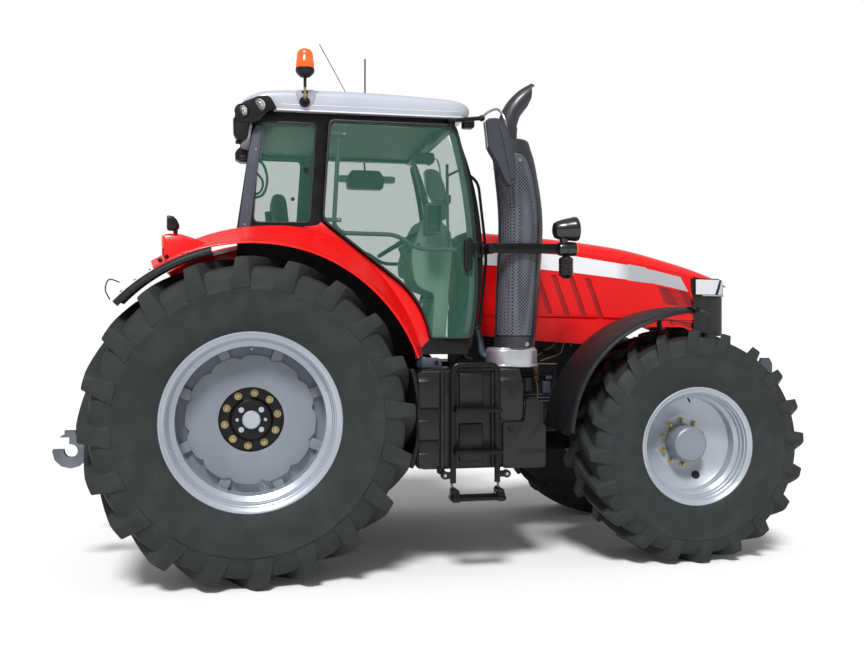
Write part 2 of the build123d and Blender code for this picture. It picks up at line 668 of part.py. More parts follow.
def make_cab_glass():
    """Windscreen, rear window and quarter windows."""
    spaces = side_space(RING_IN - SEAT_GAP)
    t = GLASS_THICK
    screen = across(
        face_of(
            (1455, CAB_SILL_Z + 70),
            (1330, CAB_TOP_Z - 80, 1530, 2200),
            (1330 - t, CAB_TOP_Z - 80),
            (1455 - t, CAB_SILL_Z + 70, 1530 - t, 2200),
        ),
        -RING_IN,
        RING_IN,
    )
    foot_x, head_x, foot_z, head_z = -60, 12, 2010, CAB_TOP_Z - 80
    pane = face_of((foot_x, foot_z), (head_x, head_z), (head_x + t, head_z), (foot_x + t, foot_z))
    rear = across(pane, -RING_IN, RING_IN)
    rear -= beside(RING_IN, -200, 200, TUB_HALF - TUB_WALL, foot_z, 2290)
    quarter = leaning(across(shrunk(quarter_face(), SEAT_GAP), RING_OUT - 20, RING_OUT - 20 + t))
    save("cab_glass", together(screen - spaces, rear - spaces, both(quarter)))


ROOF_BROW = (1340.0, 3192.0)
ROOF_CROWN = (700.0, 3216.0)


def make_roof():
    """Roof cap, domed along and across, with cut corners in plan."""
    profile = (
        (1445, CAB_TOP_Z),
        (1508, 3120),
        (1490, 3155),
        ROOF_BROW,
        ROOF_CROWN,
        (140, 3202),
        (0, 3162),
        (-70, 3095),
        (-60, CAB_TOP_Z),
    )
    half_front = ((790, CAB_TOP_Z), (800, 3110), (770, 3165), (690, 3194), (400, 3220))
    half_plan = ((790, 663), (765, 735), (720, 780), (648, 803))
    front = half_front + tuple((-y, z) for y, z in reversed(half_front))
    plan, back_round = [], half_plan[::-1]
    for sx, sy, rows in ((1, 1, half_plan), (-1, 1, back_round), (-1, -1, half_plan), (1, -1, back_round)):
        plan += [(720 + sx * x, sy * y) for x, y in rows]
    roof = across(face_of(*profile), -900, 900)
    roof &= extrude(Pos(-500, 0, 0) * (Plane.YZ * face_of(*front)), amount=2500, dir=(1, 0, 0))
    save("cab_roof", roof & upright(face_of(*plan), CAB_TOP_Z - 10, 3300))


# ---- Interior ------------------------------------------------------------------------------------
STEER_HUB = (1130.0, 2255.0)
STEER_TILT = 32.0
STEER_WHEEL_R = 205.0


def make_interior():
    """Seat, armrest, dashboard and steering wheel."""
    z = CAB_SILL_Z + SEAT_GAP
    base = block(250, 700, -200, 200, z, z + 90) + block(290, 660, -170, 170, z + 80, z + 340)
    base += block(230, 720, -240, 240, z + 330, z + 390)
    base += block(250, 800, -380, -270, z + 560, z + 640) + block(300, 380, -330, -235, z + 340, z + 600)
    save("seat_base", base)
    top = z + 390 + SEAT_GAP
    cushion = block(250, 740, -230, 230, top, top + 110)
    side = face_of((215, top + 110), (330, top + 110 + SEAT_GAP), (250, top + 740), (150, top + 740))
    back = across(side, -220, 220) - block(200, 800, -300, 300, top, top + 110 + SEAT_GAP)
    save("seat_pads", together(cushion, back))
    dash = across(
        face_of(
            (1250, z),
            (1395, z),
            (1440, z + 600),
            (1380, z + 830),
            (1240, z + 800),
            (1160, z + 640),
            (1230, z + 560),
        ),
        -230,
        230,
    )
    tilt = radians(STEER_TILT)
    hub_x, hub_z = STEER_HUB
    column = [(hub_x + down * sin(tilt), 0, hub_z - down * cos(tilt)) for down in (20 + SEAT_GAP, 300)]
    dash += rod(*column, 38)
    save("dash", dash)
    wheel = post(0, 0, -14, 14, STEER_WHEEL_R, HUB_SIDES)
    wheel -= post(0, 0, -14, 14, STEER_WHEEL_R - 30, HUB_SIDES)
    wheel += post(0, 0, -20, 20, 50, 8)
    for angle in (90, 210, 330):
        wheel += Rot(0, 0, angle) * block(40, STEER_WHEEL_R - 20, -17, 17, -6, 6)
    plane = Plane(origin=(hub_x, 0, hub_z), z_dir=(-sin(tilt), 0, cos(tilt)), x_dir=(0, 1, 0))
    save("steering_wheel", plane * wheel)


# ---- Rear fenders --------------------------------------------------------------------------------
ARCH_SHEET = 10.0
ARCH_AT = (20.0, 45.0, 68.0, 90.0, 115.0)  # degrees up from forward, along the arch
ARCH_CAB = (1200.0, 1255.0, 1290.0, 1235.0, 1185.0)  # underside radius at the cab's side
ARCH_RIM = (1130.0, 1130.0, 1130.0, 1120.0, 1120.0)  # underside radius at the outer rim
ARCH_OUT_Y = 1120.0
LIP_R = 1112.0
TAIL_R = 1060.0
ARCH_TURNS = [20 + 9.5 * i for i in range(11)] + [122.0]  # degrees up from forward, at the arch's corners
TAIL_TURNS = (105.5, 115.0, 122.0, 130.0, 138.0)  # the same along the black extension; three are shared
TAIL_SHEET = 12.0
TAIL_OUT_Y = 1240.0
TURRET_Y = 985.0
TURRET_TOP_Z = 2200.0
TURRET_ROWS = (  # x, foot z, top z, half width
    (-250, 2110, 2150, 60),
    (-355, 2080, 2178, 88),
    (-430, 2060, TURRET_TOP_Z, 92),
    (-535, 2000, TURRET_TOP_Z, 95),
)


def arch_radius(radii, turn):
    """Arch radius at a turn between two rows of the table."""
    for (a0, r0), (a1, r1) in zip(zip(ARCH_AT, radii), zip(ARCH_AT[1:], radii[1:])):
        if turn <= a1:
            return r0 + (r1 - r0) * (turn - a0) / (a1 - a0)
    return radii[-1]


def arch_points(radii, extra, turns=ARCH_TURNS):
    """Points along the arch, extra millimetres outside the radii."""
    reach = [arch_radius(radii, turn) + extra for turn in turns]
    return [(r * cos(radians(turn)), REAR.radius + r * sin(radians(turn))) for r, turn in zip(reach, turns)]


def arch_region(extra):
    """Face under the arch's outer skin at the cab's side, grown by extra, down to the rear axle."""
    p = arch_points(ARCH_CAB, ARCH_SHEET + extra)
    return make_face(Polyline(*p, (p[-1][0], 1100), (p[0][0], 1100), close=True))


def arch_row(inner, outer, y):
    """Corners of a thin closed section of the arch at one distance from the middle."""
    return [(x, y, z) for x, z in inner + outer[::-1]]


def arch_section(radii, y, turns=ARCH_TURNS):
    """Arch sheet's section at one distance from the middle."""
    return arch_row(arch_points(radii, 0, turns), arch_points(radii, ARCH_SHEET, turns), y)


def under_arch():
    """Space below the middle of the arch's sheet, outboard of the cab."""
    rows = []
    for radii, y in ((ARCH_CAB, RING_OUT + 10), (ARCH_RIM, ARCH_OUT_Y)):
        top = arch_points(radii, ARCH_SHEET / 2)
        rows.append(arch_row([(top[0][0], 1100), (top[-1][0], 1100)], top, y))
    return faceted(rows)


def lamp_turret():
    """Hood-shaped housing for the rear lamps, fading forward into the arch."""
    rows = []
    for x, foot_z, top_z, half in TURRET_ROWS:
        half_row = [(half, foot_z), (half, top_z - 45), (half - 40, top_z)]
        rows.append([(x, TURRET_Y + y, z) for y, z in half_row + [(-y, z) for y, z in reversed(half_row)]])
    return faceted(rows) - under_arch()


def make_rear_fenders():
    """Arch shells from the tub out to the rim, and the black extensions behind."""
    shell = faceted(
        [
            arch_section(ARCH_CAB, TUB_HALF + SEAT_GAP),
            arch_section(ARCH_CAB, RING_OUT + 10),
            arch_section(ARCH_RIM, ARCH_OUT_Y),
        ]
    )
    lip_inner, lip_outer = arch_points((LIP_R,) * len(ARCH_AT), 0), arch_points(ARCH_RIM, ARCH_SHEET)
    lip = faceted([arch_row(lip_inner, lip_outer, y) for y in (ARCH_OUT_Y - 8, ARCH_OUT_Y + 30)])
    save("rear_fenders", both(shell + lip + lamp_turret()))
    tail = None
    tail_r = LIP_R - SEAT_GAP
    for r, y0 in ((tail_r - TAIL_SHEET, TUB_HALF + 60), (TAIL_R, TAIL_OUT_Y - TAIL_SHEET)):
        inner, outer = (arch_points((reach,) * len(ARCH_AT), 0, TAIL_TURNS) for reach in (r, tail_r))
        sheet = faceted([arch_row(inner, outer, y) for y in (y0, TAIL_OUT_Y)])
        tail = sheet if tail is None else tail + sheet
    save("fender_extensions", both(tail))


# ---- Bonnet --------------------------------------------------------------------------------------
# Sections along the bonnet: x, half width at the foot, half width at the shoulder, shoulder z, top z.
HOOD_SECTIONS = (
    (1600, 450, 425, 2200, 2334),
    (2400, 445, 420, 2130, 2275),
    (WHEELBASE + 100, 420, 395, 2010, 2155),
    (WHEELBASE + 500, 385, 350, 1925, 2040),
    (WHEELBASE + 680, 330, 300, 1880, 1960),
)
HOOD_FOOT_Z = 1440.0
GRILLE_FOOT_Z = 1545.0
GRILLE_WALL = 40.0
VENTS = 4
VENT_TOP = (2054.0, 2018.0)  # top rear corner of the first, x and z
VENT_FOOT_Z = 1712.0
VENT_PITCH = 134.0
VENT_FALL = 11.0  # each vent below the one behind it
VENT_WIDE = 40.0
VENT_RAKE = 107.0  # the foot ahead of the top
VENT_DEPTH = 6.0


def hood_section(x, foot, shoulder, shoulder_z, top_z, inset):
    """Corners of one arched section; inset makes an inner skin."""
    foot, shoulder, shoulder_z, top_z = foot - inset, shoulder - inset, shoulder_z - inset, top_z - inset
    drop = 0.05 * shoulder
    bend_z = (shoulder_z + 2 * (top_z - drop)) / 3
    half = [
        (foot, HOOD_FOOT_Z - 2 * inset),
        (shoulder, shoulder_z),
        (0.9 * shoulder, bend_z),
        (0.62 * shoulder, top_z - drop),
        (0.31 * shoulder, top_z - drop / 4),
    ]
    return [(x, y, z) for y, z in half + [(0, top_z)] + [(-y, z) for y, z in reversed(half)]]


def hood_body(inset, rear_over=0.0, front_short=0.0):
    """Bonnet's outer form, or with an inset the form inside its skin."""
    rows = [list(row) for row in HOOD_SECTIONS]
    rows[0][0] -= rear_over
    rows[-1][0] -= front_short
    return faceted([hood_section(*row, inset) for row in rows])


def make_hood():
    """One-piece bonnet shell with its nose opening, and the grille that fills the nose."""
    outer = hood_body(0)
    shell = outer - hood_body(HOOD_WALL, 1, HOOD_WALL)
    nose_rows = ((330, 1300), (900, 1300), (900, 1925), (690, 1925), (345, 2015), (440, 1700), (470, 1300))
    nose = [(WHEELBASE + ahead, z) for ahead, z in nose_rows]
    shell -= across(face_of(*nose), -600, 600)
    below = (
        (1500, 1300),
        (1500, 1565),
        (2060, 1510),
        (WHEELBASE - 460, 1480),
        (WHEELBASE - 360, 1560),
        (WHEELBASE - 240, 1618),
        (WHEELBASE + 250, 1618),
        (WHEELBASE + 420, 1550),
        (WHEELBASE + 900, 1550),
        (WHEELBASE + 900, 1300),
    )
    shell -= across(face_of(*below), -600, 600)
    vent_floor = hood_body(VENT_DEPTH)
    for i in range(VENTS):
        x, fall = VENT_TOP[0] + i * VENT_PITCH, i * VENT_FALL
        top_z, foot_z = VENT_TOP[1] - fall, VENT_FOOT_Z - fall
        foot_x = x + VENT_RAKE
        slot = face_of((x, top_z), (x + VENT_WIDE, top_z), (foot_x + VENT_WIDE, foot_z), (foot_x, foot_z))
        for y in (-600, 300):
            shell -= across(slot, y, y + 300) - vent_floor
    hinge_x, hinge_z = HOOD_HINGE
    shell += beside(176, hinge_x - 30, hinge_x + 40, 150 + SEAT_GAP, hinge_z - 24, 2325) & outer
    save("hood", shell)
    front_x = WHEELBASE + 645
    grille = outer & across(shrunk(face_of(*nose), SEAT_GAP), -600, 600)
    grille &= block(WHEELBASE + 300, front_x, -600, 600, GRILLE_FOOT_Z, 2100)
    hollow = block(WHEELBASE + 300, front_x + 55, -600, 600, GRILLE_FOOT_Z + 30, 1900)
    grille -= hood_body(GRILLE_WALL, 1, 35 + GRILLE_WALL) & hollow
    save("hood_grille", grille)


# ---- Side fittings -------------------------------------------------------------------------------
def cut_rectangle(length, width, cut):
    """Rectangle with its corners cut off."""
    x, y = length / 2, width / 2
    quarter = ((x, y - cut), (x - cut, y))
    points = quarter + tuple((-px, py) for px, py in reversed(quarter))
    return face_of(*points, *((-px, -py) for px, py in points))


TANK_OUT_Y = 1110.0
TANK_TOP_Z = 1340.0
TANK_FRONT_X = WHEELBASE - 1220
STACK_X, STACK_Y = 1765.0, -840.0
STACK_ROWS = (  # z, centre x, radius
    (1470 + SEAT_GAP, 1785, 140),
    (1900, 1812, 150),
    (2350, 1830, 153),
    (2700, 1790, 145),
    (2880, 1750, 132),
)
MIRROR_IN_Y, MIRROR_OUT_Y = 1010.0, 1100.0
LAMP_ARM_Y = 1000.0  # inner face of the lamp arms, outside the stack
ARM_LAMPS = (  # x limits, how far it stands out beside the arm, z limits
    (2045, 2140, 20, 2095, 2195),
    (2010, 2180, 60, 2190, 2350),
    (2050, 2150, 45, 1940, 2100),
)
BEACON_X = 350.0
AERIALS = ((735.0, 490.0, 3650.0), (820.0, 820.0, 3560.0))  # foot x, tip x, tip z
AERIAL_Y = -300.0
AERIAL_FOOT_R = 18.0


def make_side_fittings():
    """Tanks, ladders, exhaust, mirrors, lamps and roof fittings."""
    tank = across(
        face_of(
            (1040, 720),
            (1080, 680),
            (TANK_FRONT_X - 130, 680),
            (TANK_FRONT_X, 820),
            (TANK_FRONT_X, 1290),
            (TANK_FRONT_X - 40, TANK_TOP_Z),
            (1070, TANK_TOP_Z),
            (1040, 1310),
        ),
        480,
        TANK_OUT_Y,
    )
    tank += block(TANK_FRONT_X - 5, TANK_FRONT_X + 150, 640, TANK_OUT_Y, 680, 1140)
    tank += block(1150, 1400, TRANNY_HALF + SEAT_GAP, 490, 900, 1000)
    save("side_tanks", both(tank))

    face_y = TANK_OUT_Y + SEAT_GAP
    ladder = block(1240, 1630, face_y, 1250, 490, 540)
    for x in (1290, 1585):
        ladder += block(x - 20, x + 20, face_y, 1140, 500, 1330)
    for z in (1080, 810):
        ladder += block(1275, 1600, face_y, 1240, z - 14, z + 14)
    save("ladders", both(ladder))

    casing = upright(Pos(STACK_X, STACK_Y) * cut_rectangle(350, 270, 60), TANK_TOP_Z + SEAT_GAP, 1470)
    save("aftertreatment_casing", casing)
    turns = [2 * pi * i / HUB_SIDES for i in range(HUB_SIDES)]
    rings = []
    for z, x, r in STACK_ROWS:
        rings.append([(x + r * cos(turn), STACK_Y + r * sin(turn), z) for turn in turns])
    stack_body = faceted(rings)
    horn = bent_rod([(1745, STACK_Y, 2870), (1745, STACK_Y, 3060), (1900, STACK_Y, 3300)], 70, 12)
    mouth = face_of((1760, 3010), (1900, 3225), (2100, 3400), (2100, 2900))
    horn -= across(mouth, STACK_Y - 200, STACK_Y + 200)
    save("exhaust_stack", stack_body + horn)

    ring_shell = leaning(across(offset(cab_side_face(), SEAT_GAP), RING_IN - SEAT_GAP, RING_OUT + SEAT_GAP))
    arm_z = CAB_TOP_Z - 22
    plan = ((1340, 745), (1340, 830), (1620, 960), (1620, 1055))
    arm = bent_rod([(x, y, arm_z) for x, y in plan] + [(1620, 1055, 2900)], 13)
    glass_box = face_of((1520, 3000), (1700, 3000), (1725, 2560), (1640, 2550))
    glass_box = across(glass_box, MIRROR_IN_Y, MIRROR_OUT_Y)
    save("mirrors", both(arm - ring_shell + glass_box))

    y0, y1 = LAMP_ARM_Y, LAMP_ARM_Y + 30
    lamp_arm = block(1545, 1625, 760, y1, 2110, 2180) - ring_shell - leaning(grab_rail(RAIL_R + SEAT_GAP))
    lamp_arm += block(1600, 2060, y0, y1, 2110, 2180)
    for x0, x1, aside, z0, z1 in ARM_LAMPS:
        lamp_arm += block(x0, x1, y0 - aside, y1 + aside, z0, z1)
    head_z = CAB_TOP_Z - SEAT_GAP
    corner = across(face_of((-120, 2880), (40, 2880), (110, 2960), (110, head_z), (-60, head_z)), 712, 850)
    stalk = block(-482, -456, TURRET_Y - 15, TURRET_Y + 15, TURRET_TOP_Z + SEAT_GAP, TURRET_TOP_Z + 35)
    bucket = ((-507, 2222), (-451, 2230), (-453, 2274), (-479, 2309), (-518, 2313))
    stalk += across(face_of(*bucket), TURRET_Y - 50, TURRET_Y + 50)
    save("work_lamps", together(both(lamp_arm), both(corner - ring_shell), both(stalk)))

    side_y = 800 + SEAT_GAP
    beacon = rod((BEACON_X, -side_y, 3110), (BEACON_X, -side_y - 30, 3110), 40)
    stem = ((-side_y - 10, 3110), (-side_y - 45, 3110), (-side_y - 45, 3310))
    beacon += bent_rod([(BEACON_X, y, z) for y, z in stem], 9)
    beacon += Pos(BEACON_X, -side_y - 45, 3300) * extrude(RegularPolygon(60, 12), amount=155, taper=4)
    fall = (ROOF_CROWN[1] - ROOF_BROW[1]) / (ROOF_BROW[0] - ROOF_CROWN[0])
    aerials = []
    for foot_x, tip_x, tip_z in AERIALS:
        foot_z = ROOF_CROWN[1] - (foot_x - AERIAL_FOOT_R - ROOF_CROWN[0]) * fall + SEAT_GAP
        aerial = post(foot_x, AERIAL_Y, foot_z, foot_z + 30, AERIAL_FOOT_R, 8)
        aerials.append(aerial + bent_rod([(foot_x, AERIAL_Y, foot_z + 25), (tip_x, AERIAL_Y, tip_z)], 4.5))
    save("beacon", together(beacon, *aerials))


def main():
    """Build every node."""
    os.makedirs("parts", exist_ok=True)
    make_wheels()
    make_front_axle()
    make_front_fenders()
    make_chassis()
    make_rear_hitch()
    make_cab()
    make_interior()
    make_rear_fenders()
    make_hood()
    make_side_fittings()


main()
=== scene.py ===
"""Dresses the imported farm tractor: smooth tyres, wheels and panels, glazing, lamps, fittings and finishes."""

import logging
from dataclasses import dataclass
from enum import Enum
from math import acos, atan2, cos, degrees, pi, radians, sin, sqrt
from typing import Callable, Iterable, Sequence

import bmesh
import bpy
from mathutils import Matrix, Vector


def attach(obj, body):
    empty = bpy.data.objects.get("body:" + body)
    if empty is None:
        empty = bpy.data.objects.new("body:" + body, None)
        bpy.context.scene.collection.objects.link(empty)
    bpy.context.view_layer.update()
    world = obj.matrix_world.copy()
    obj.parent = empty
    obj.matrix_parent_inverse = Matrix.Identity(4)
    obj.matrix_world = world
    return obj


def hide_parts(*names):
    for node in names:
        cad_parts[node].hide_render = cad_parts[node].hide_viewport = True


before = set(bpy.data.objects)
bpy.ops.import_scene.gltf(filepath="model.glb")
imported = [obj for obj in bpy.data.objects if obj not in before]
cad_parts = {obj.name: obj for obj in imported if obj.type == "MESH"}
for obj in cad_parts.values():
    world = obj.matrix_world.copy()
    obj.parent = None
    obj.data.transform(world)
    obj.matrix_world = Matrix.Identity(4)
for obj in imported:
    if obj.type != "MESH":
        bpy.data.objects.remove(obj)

LOG = logging.getLogger("tractor")
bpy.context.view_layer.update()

Point = tuple[float, float, float]
Flat = tuple[float, float]
Colour = tuple[float, float, float]

REAR_AXLE_X = -1.35  # the forms below are drawn with the rear axle at x = 0
WHEELBASE = 3.0
REAR_RADIUS = 1.03  # of the rear tyre over its lugs, so also the height of the rear axle
WHEEL_NUTS = 10
PAD_VOXEL = 0.012  # mesh size of a pad's cover in the cloth simulation
PAD_FRAMES = 20
PAD_PRESSURE = 4.0
PAD_REACH = 0.012  # the most that a pad's cover may move


# ---- Finishes ------------------------------------------------------------------------------------
def shade(red: int, green: int, blue: int) -> Colour:
    """Linear colour of one given on the usual 0 to 255 scale.

    Args:
        red, green, blue: channels from 0 to 255.

    Returns:
        The three linear channels.
    """
    return tuple(
        (c / 255 / 12.92) if c <= 10 else ((c / 255 + 0.055) / 1.055) ** 2.4 for c in (red, green, blue)
    )


class Graph:
    """The nodes of one material."""

    def __init__(self, name: str) -> None:
        """Start a material with its shader.

        Args:
            name: the material's name.
        """
        self.material = bpy.data.materials.new(name)
        self.material.use_nodes = True
        self.tree = self.material.node_tree
        self.shader = self.tree.nodes["Principled BSDF"]
        self.place = self.tree.nodes.new("ShaderNodeTexCoord").outputs["Object"]

    def node(self, kind: str, sockets: dict, **settings: object) -> bpy.types.Node:
        """Add a node.

        Args:
            kind: the node type's name after ShaderNode.
            sockets: input name or number to a value or to another node's output.
            settings: the node's own properties.

        Returns:
            The new node.
        """
        made = self.tree.nodes.new("ShaderNode" + kind)
        for key, value in settings.items():
            setattr(made, key, value)
        for key, value in sockets.items():
            if isinstance(value, bpy.types.NodeSocket):
                self.tree.links.new(value, made.inputs[key])
            else:
                made.inputs[key].default_value = value
        return made

    def noise(
        self, scale: float, detail: float = 3.0, stretch: Point = (1.0, 1.0, 1.0)
    ) -> bpy.types.NodeSocket:
        """Noise over the piece.

        Args:
            scale: cells a metre.
            detail: octaves.
            stretch: scale along each axis.

        Returns:
            The noise's factor.
        """
        place = self.node("Mapping", {"Vector": self.place, "Scale": stretch}).outputs[0]
        return self.node("TexNoise", {"Vector": place, "Scale": scale, "Detail": detail}).outputs[0]

    def span(
        self, factor: bpy.types.NodeSocket, low: float, high: float, clip: Flat = (0.3, 0.7)
    ) -> bpy.types.NodeSocket:
        """Turn a factor into a range of values.

        Args:
            factor: the factor.
            low, high: values at the clip's ends.
            clip: the part of the factor that is used.

        Returns:
            The value.
        """
        sockets = {0: factor, 1: clip[0], 2: clip[1], 3: low, 4: high}
        return self.node("MapRange", sockets).outputs[0]

    def blend(self, factor: bpy.types.NodeSocket, first: object, second: object) -> bpy.types.NodeSocket:
        """Mix two colours.

        Args:
            factor: how much of the second.
            first, second: a colour or another node's output each.

        Returns:
            The mixed colour.
        """
        parts = [c if isinstance(c, bpy.types.NodeSocket) else (*c, 1.0) for c in (first, second)]
        return self.node("Mix", {0: factor, 6: parts[0], 7: parts[1]}, data_type="RGBA").outputs[2]

    def bump(self, height: bpy.types.NodeSocket, depth: float, strength: float = 1.0) -> None:
        """Put a bump on the shader.

        Args:
            height: the height's factor.
            depth: metres between the factor's ends.
            strength: how much of it shows.
        """
        made = self.node("Bump", {"Height": height, "Distance": depth, "Strength": strength})
        self.tree.links.new(made.outputs[0], self.shader.inputs["Normal"])

    def feed(self, socket: str, value: object) -> None:
        """Set or link one of the shader's sockets.

        Args:
            socket: the socket's name.
            value: a value or another node's output.
        """
        if isinstance(value, bpy.types.NodeSocket):
            self.tree.links.new(value, self.shader.inputs[socket])
        else:
            self.shader.inputs[socket].default_value = value


MADE: dict[str, bpy.types.Material] = {}


@dataclass(frozen=True)
class Finish:
    """A finish whose colour, gloss and surface stray a little over the piece."""

    name: str
    colour: Colour
    roughness: float = 0.5
    metallic: float = 0.0
    stray: float = 0.12  # share of the colour that comes and goes
    patch: float = 3.0  # patches a metre
    grain: float = 350.0  # grains a metre
    relief: float = 0.0  # metres
    gloss_stray: float = 0.08
    coat: float = 0.0
    sheen: float = 0.0
    glow: float = 0.0
    alpha: float = 1.0
    specular: float = 0.5

    def graph(self) -> Graph:
        """Nodes for this finish."""
        made = Graph(self.name)
        patches = made.noise(self.patch, 4.0)
        dark = tuple(c * (1 - self.stray) for c in self.colour)
        light = tuple(min(1.0, c * (1 + self.stray)) for c in self.colour)
        made.feed("Base Color", made.blend(made.span(patches, 0.0, 1.0), dark, light))
        grains = made.noise(self.grain, 2.0)
        low, high = max(0.02, self.roughness - self.gloss_stray), min(1.0, self.roughness + self.gloss_stray)
        made.feed("Roughness", made.span(made.noise(self.patch * 4, 5.0), low, high))
        if self.relief:
            made.bump(grains, self.relief)
        made.feed("Metallic", self.metallic)
        made.feed("Coat Weight", self.coat)
        made.feed("Coat Roughness", 0.06)
        made.feed("Sheen Weight", self.sheen)
        made.feed("Specular IOR Level", self.specular)
        made.feed("Alpha", self.alpha)
        if self.glow:
            made.feed("Emission Color", (*self.colour, 1.0))
            made.feed("Emission Strength", self.glow)
        return made

    def material(self) -> bpy.types.Material:
        """The finish's material, made once."""
        if self.name not in MADE:
            MADE[self.name] = self.graph().material
        return MADE[self.name]


@dataclass(frozen=True)
class Rubber(Finish):
    """Tyre rubber with dusty patches here and there, and fine moulding grain."""

    dust: Colour = (0.05, 0.052, 0.054)

    def graph(self) -> Graph:
        """Nodes for this finish."""
        made = super().graph()
        base = made.shader.inputs["Base Color"].links[0].from_socket
        patches = made.noise(9.0, 6.0)
        made.feed("Base Color", made.blend(made.span(patches, 0.0, 0.35, (0.45, 0.75)), base, self.dust))
        return made


@dataclass(frozen=True)
class Woven(Finish):
    """Cloth with a plain weave."""

    threads: float = 900.0

    def graph(self) -> Graph:
        """Nodes for this finish."""
        made = super().graph()
        waves = []
        for axis in ("X", "Y"):
            sockets = {"Vector": made.place, "Scale": self.threads / 6.28, "Distortion": 0.4}
            waves.append(made.node("TexWave", sockets, bands_direction=axis).outputs[1])
        weave = made.node("Math", {0: waves[0], 1: waves[1]}, operation="MULTIPLY").outputs[0]
        made.bump(weave, 0.0006)
        return made


@dataclass(frozen=True)
class Perforated(Finish):
    """Sheet with rows of punched round holes, dark inside."""

    pitch: float = 0.012
    hole: Colour = (0.004, 0.004, 0.004)

    def graph(self) -> Graph:
        """Nodes for this finish."""
        made = super().graph()
        base = made.shader.inputs["Base Color"].links[0].from_socket
        turned = made.node("Mapping", {"Vector": made.place, "Rotation": (0.0, radians(45), 0.0)}).outputs[0]
        cells = made.node(
            "TexVoronoi", {"Vector": turned, "Scale": 1 / self.pitch, "Randomness": 0.0}
        ).outputs[0]
        ring = made.span(cells, 1.0, 0.0, (0.3, 0.38))
        made.feed("Base Color", made.blend(ring, base, self.hole))
        made.bump(made.span(cells, 0.0, 1.0, (0.28, 0.4)), 0.002)
        return made


@dataclass(frozen=True)
class Graded(Finish):
    """Foil that goes from its colour to grey towards the nose."""

    second: Colour = (0.42, 0.43, 0.46)
    span_x: Flat = (2.7 + REAR_AXLE_X, 2.82 + REAR_AXLE_X)

    def graph(self) -> Graph:
        """Nodes for this finish."""
        made = super().graph()
        base = made.shader.inputs["Base Color"].links[0].from_socket
        along = made.node("SeparateXYZ", {0: made.place}).outputs[0]
        made.feed("Base Color", made.blend(made.span(along, 0.0, 1.0, self.span_x), base, self.second))
        return made


RED = Finish(
    "red paint", shade(228, 6, 10), roughness=0.32, stray=0.03, patch=2.0, grain=900.0, relief=0.00002,
    gloss_stray=0.05, coat=0.3, specular=0.35,
)
# darker copy of the body red: painted shade inside the bonnet's vent slots; the same colour also draws the seam
# line along the shoulder
RED_VENT_SHADE_AND_SEAM = Finish(
    "darker red: painted vent shade, and seam line", shade(158, 6, 10), roughness=0.45, stray=0.06, grain=900.0, relief=0.00003
)
STRIPE = Graded(
    "stripe, white to grey", shade(232, 233, 236), roughness=0.35, stray=0.03, patch=4.0, grain=900.0,
    gloss_stray=0.05, coat=0.3,
)
SILVER = Finish(
    "silver wheel paint", shade(168, 174, 184), roughness=0.32, metallic=0.35, stray=0.04, grain=500.0,
    relief=0.00003, gloss_stray=0.06, coat=0.5,
)
DISH_GREY = Finish(
    "grey disc paint", shade(128, 133, 142), roughness=0.42, metallic=0.25, stray=0.05, patch=5.0,
    grain=500.0, relief=0.00004,
)
ROOF = Finish(
    "roof panel", shade(180, 184, 196), roughness=0.35, stray=0.03, patch=2.0, grain=700.0, relief=0.00002,
    gloss_stray=0.05, coat=0.4,
)
ROOF_EDGE = Finish("white roof seam", shade(228, 231, 233), roughness=0.4, stray=0.03, grain=700.0)
FRAME_BLACK = Finish(
    "black frame paint", shade(9, 9, 11), roughness=0.34, stray=0.15, grain=600.0, relief=0.00003,
    coat=0.08, specular=0.25,
)
CAST = Finish(
    "dark cast iron", shade(36, 37, 40), roughness=0.6, metallic=0.2, stray=0.3, patch=6.0, grain=220.0,
    relief=0.0006, gloss_stray=0.1,
)
MOULDED = Finish(
    "black moulded plastic", shade(24, 25, 28), roughness=0.52, stray=0.15, patch=4.0, grain=1100.0,
    relief=0.00012, specular=0.3,
)
SATIN_BLACK = Finish(
    "satin black plastic", shade(16, 16, 18), roughness=0.38, patch=4.0, grain=900.0, relief=0.00005,
    specular=0.35,
)
TANK_BLACK = Finish(
    "black tank plastic", shade(25, 26, 25), roughness=0.36, stray=0.14, patch=2.0, grain=700.0,
    relief=0.00008, coat=0.12, specular=0.3,
)
TYRE = Rubber(
    "tyre rubber", shade(44, 46, 47), roughness=0.68, stray=0.05, grain=420.0, relief=0.0002, specular=0.2
)
STEEL = Finish(
    "bright steel", shade(180, 182, 184), roughness=0.25, metallic=0.9, stray=0.1, patch=8.0, grain=700.0,
    relief=0.00003,
)
BRASS = Finish(
    "zinc passivated bolts", shade(172, 158, 112), roughness=0.35, metallic=0.8, stray=0.15, patch=12.0,
    grain=700.0, relief=0.00004,
)
ALUMINIUM = Finish(
    "aluminised sheet", shade(190, 192, 196), roughness=0.35, metallic=0.75, stray=0.1, patch=10.0,
    grain=300.0, relief=0.0003,
)
GLASS = Finish(
    "tinted glass", shade(70, 122, 104), roughness=0.03, stray=0.05, patch=1.0, grain=50.0,
    gloss_stray=0.01, alpha=0.2, specular=0.3,
)
LENS = Finish(
    "clear lamp lens", shade(214, 218, 222), roughness=0.08, stray=0.05, patch=30.0, grain=600.0,
    relief=0.0002, gloss_stray=0.03, coat=0.5,
)
REFLECTOR = Finish(
    "lamp reflector", shade(226, 228, 230), roughness=0.12, metallic=0.85, stray=0.1, patch=40.0,
    grain=300.0, relief=0.0006,
)
AMBER = Finish(
    "amber lens", shade(236, 92, 28), roughness=0.2, stray=0.1, patch=20.0, grain=260.0, relief=0.0005,
    gloss_stray=0.05, coat=0.6, glow=0.25,
)
RED_LENS = Finish(
    "red lens", shade(150, 10, 12), roughness=0.2, stray=0.1, patch=20.0, grain=260.0, relief=0.0005,
    gloss_stray=0.05, coat=0.6,
)
SEAT_CLOTH = Woven(
    "seat cloth", shade(52, 58, 58), roughness=0.85, stray=0.2, patch=8.0, grain=600.0, relief=0.0003,
    sheen=0.3,
)
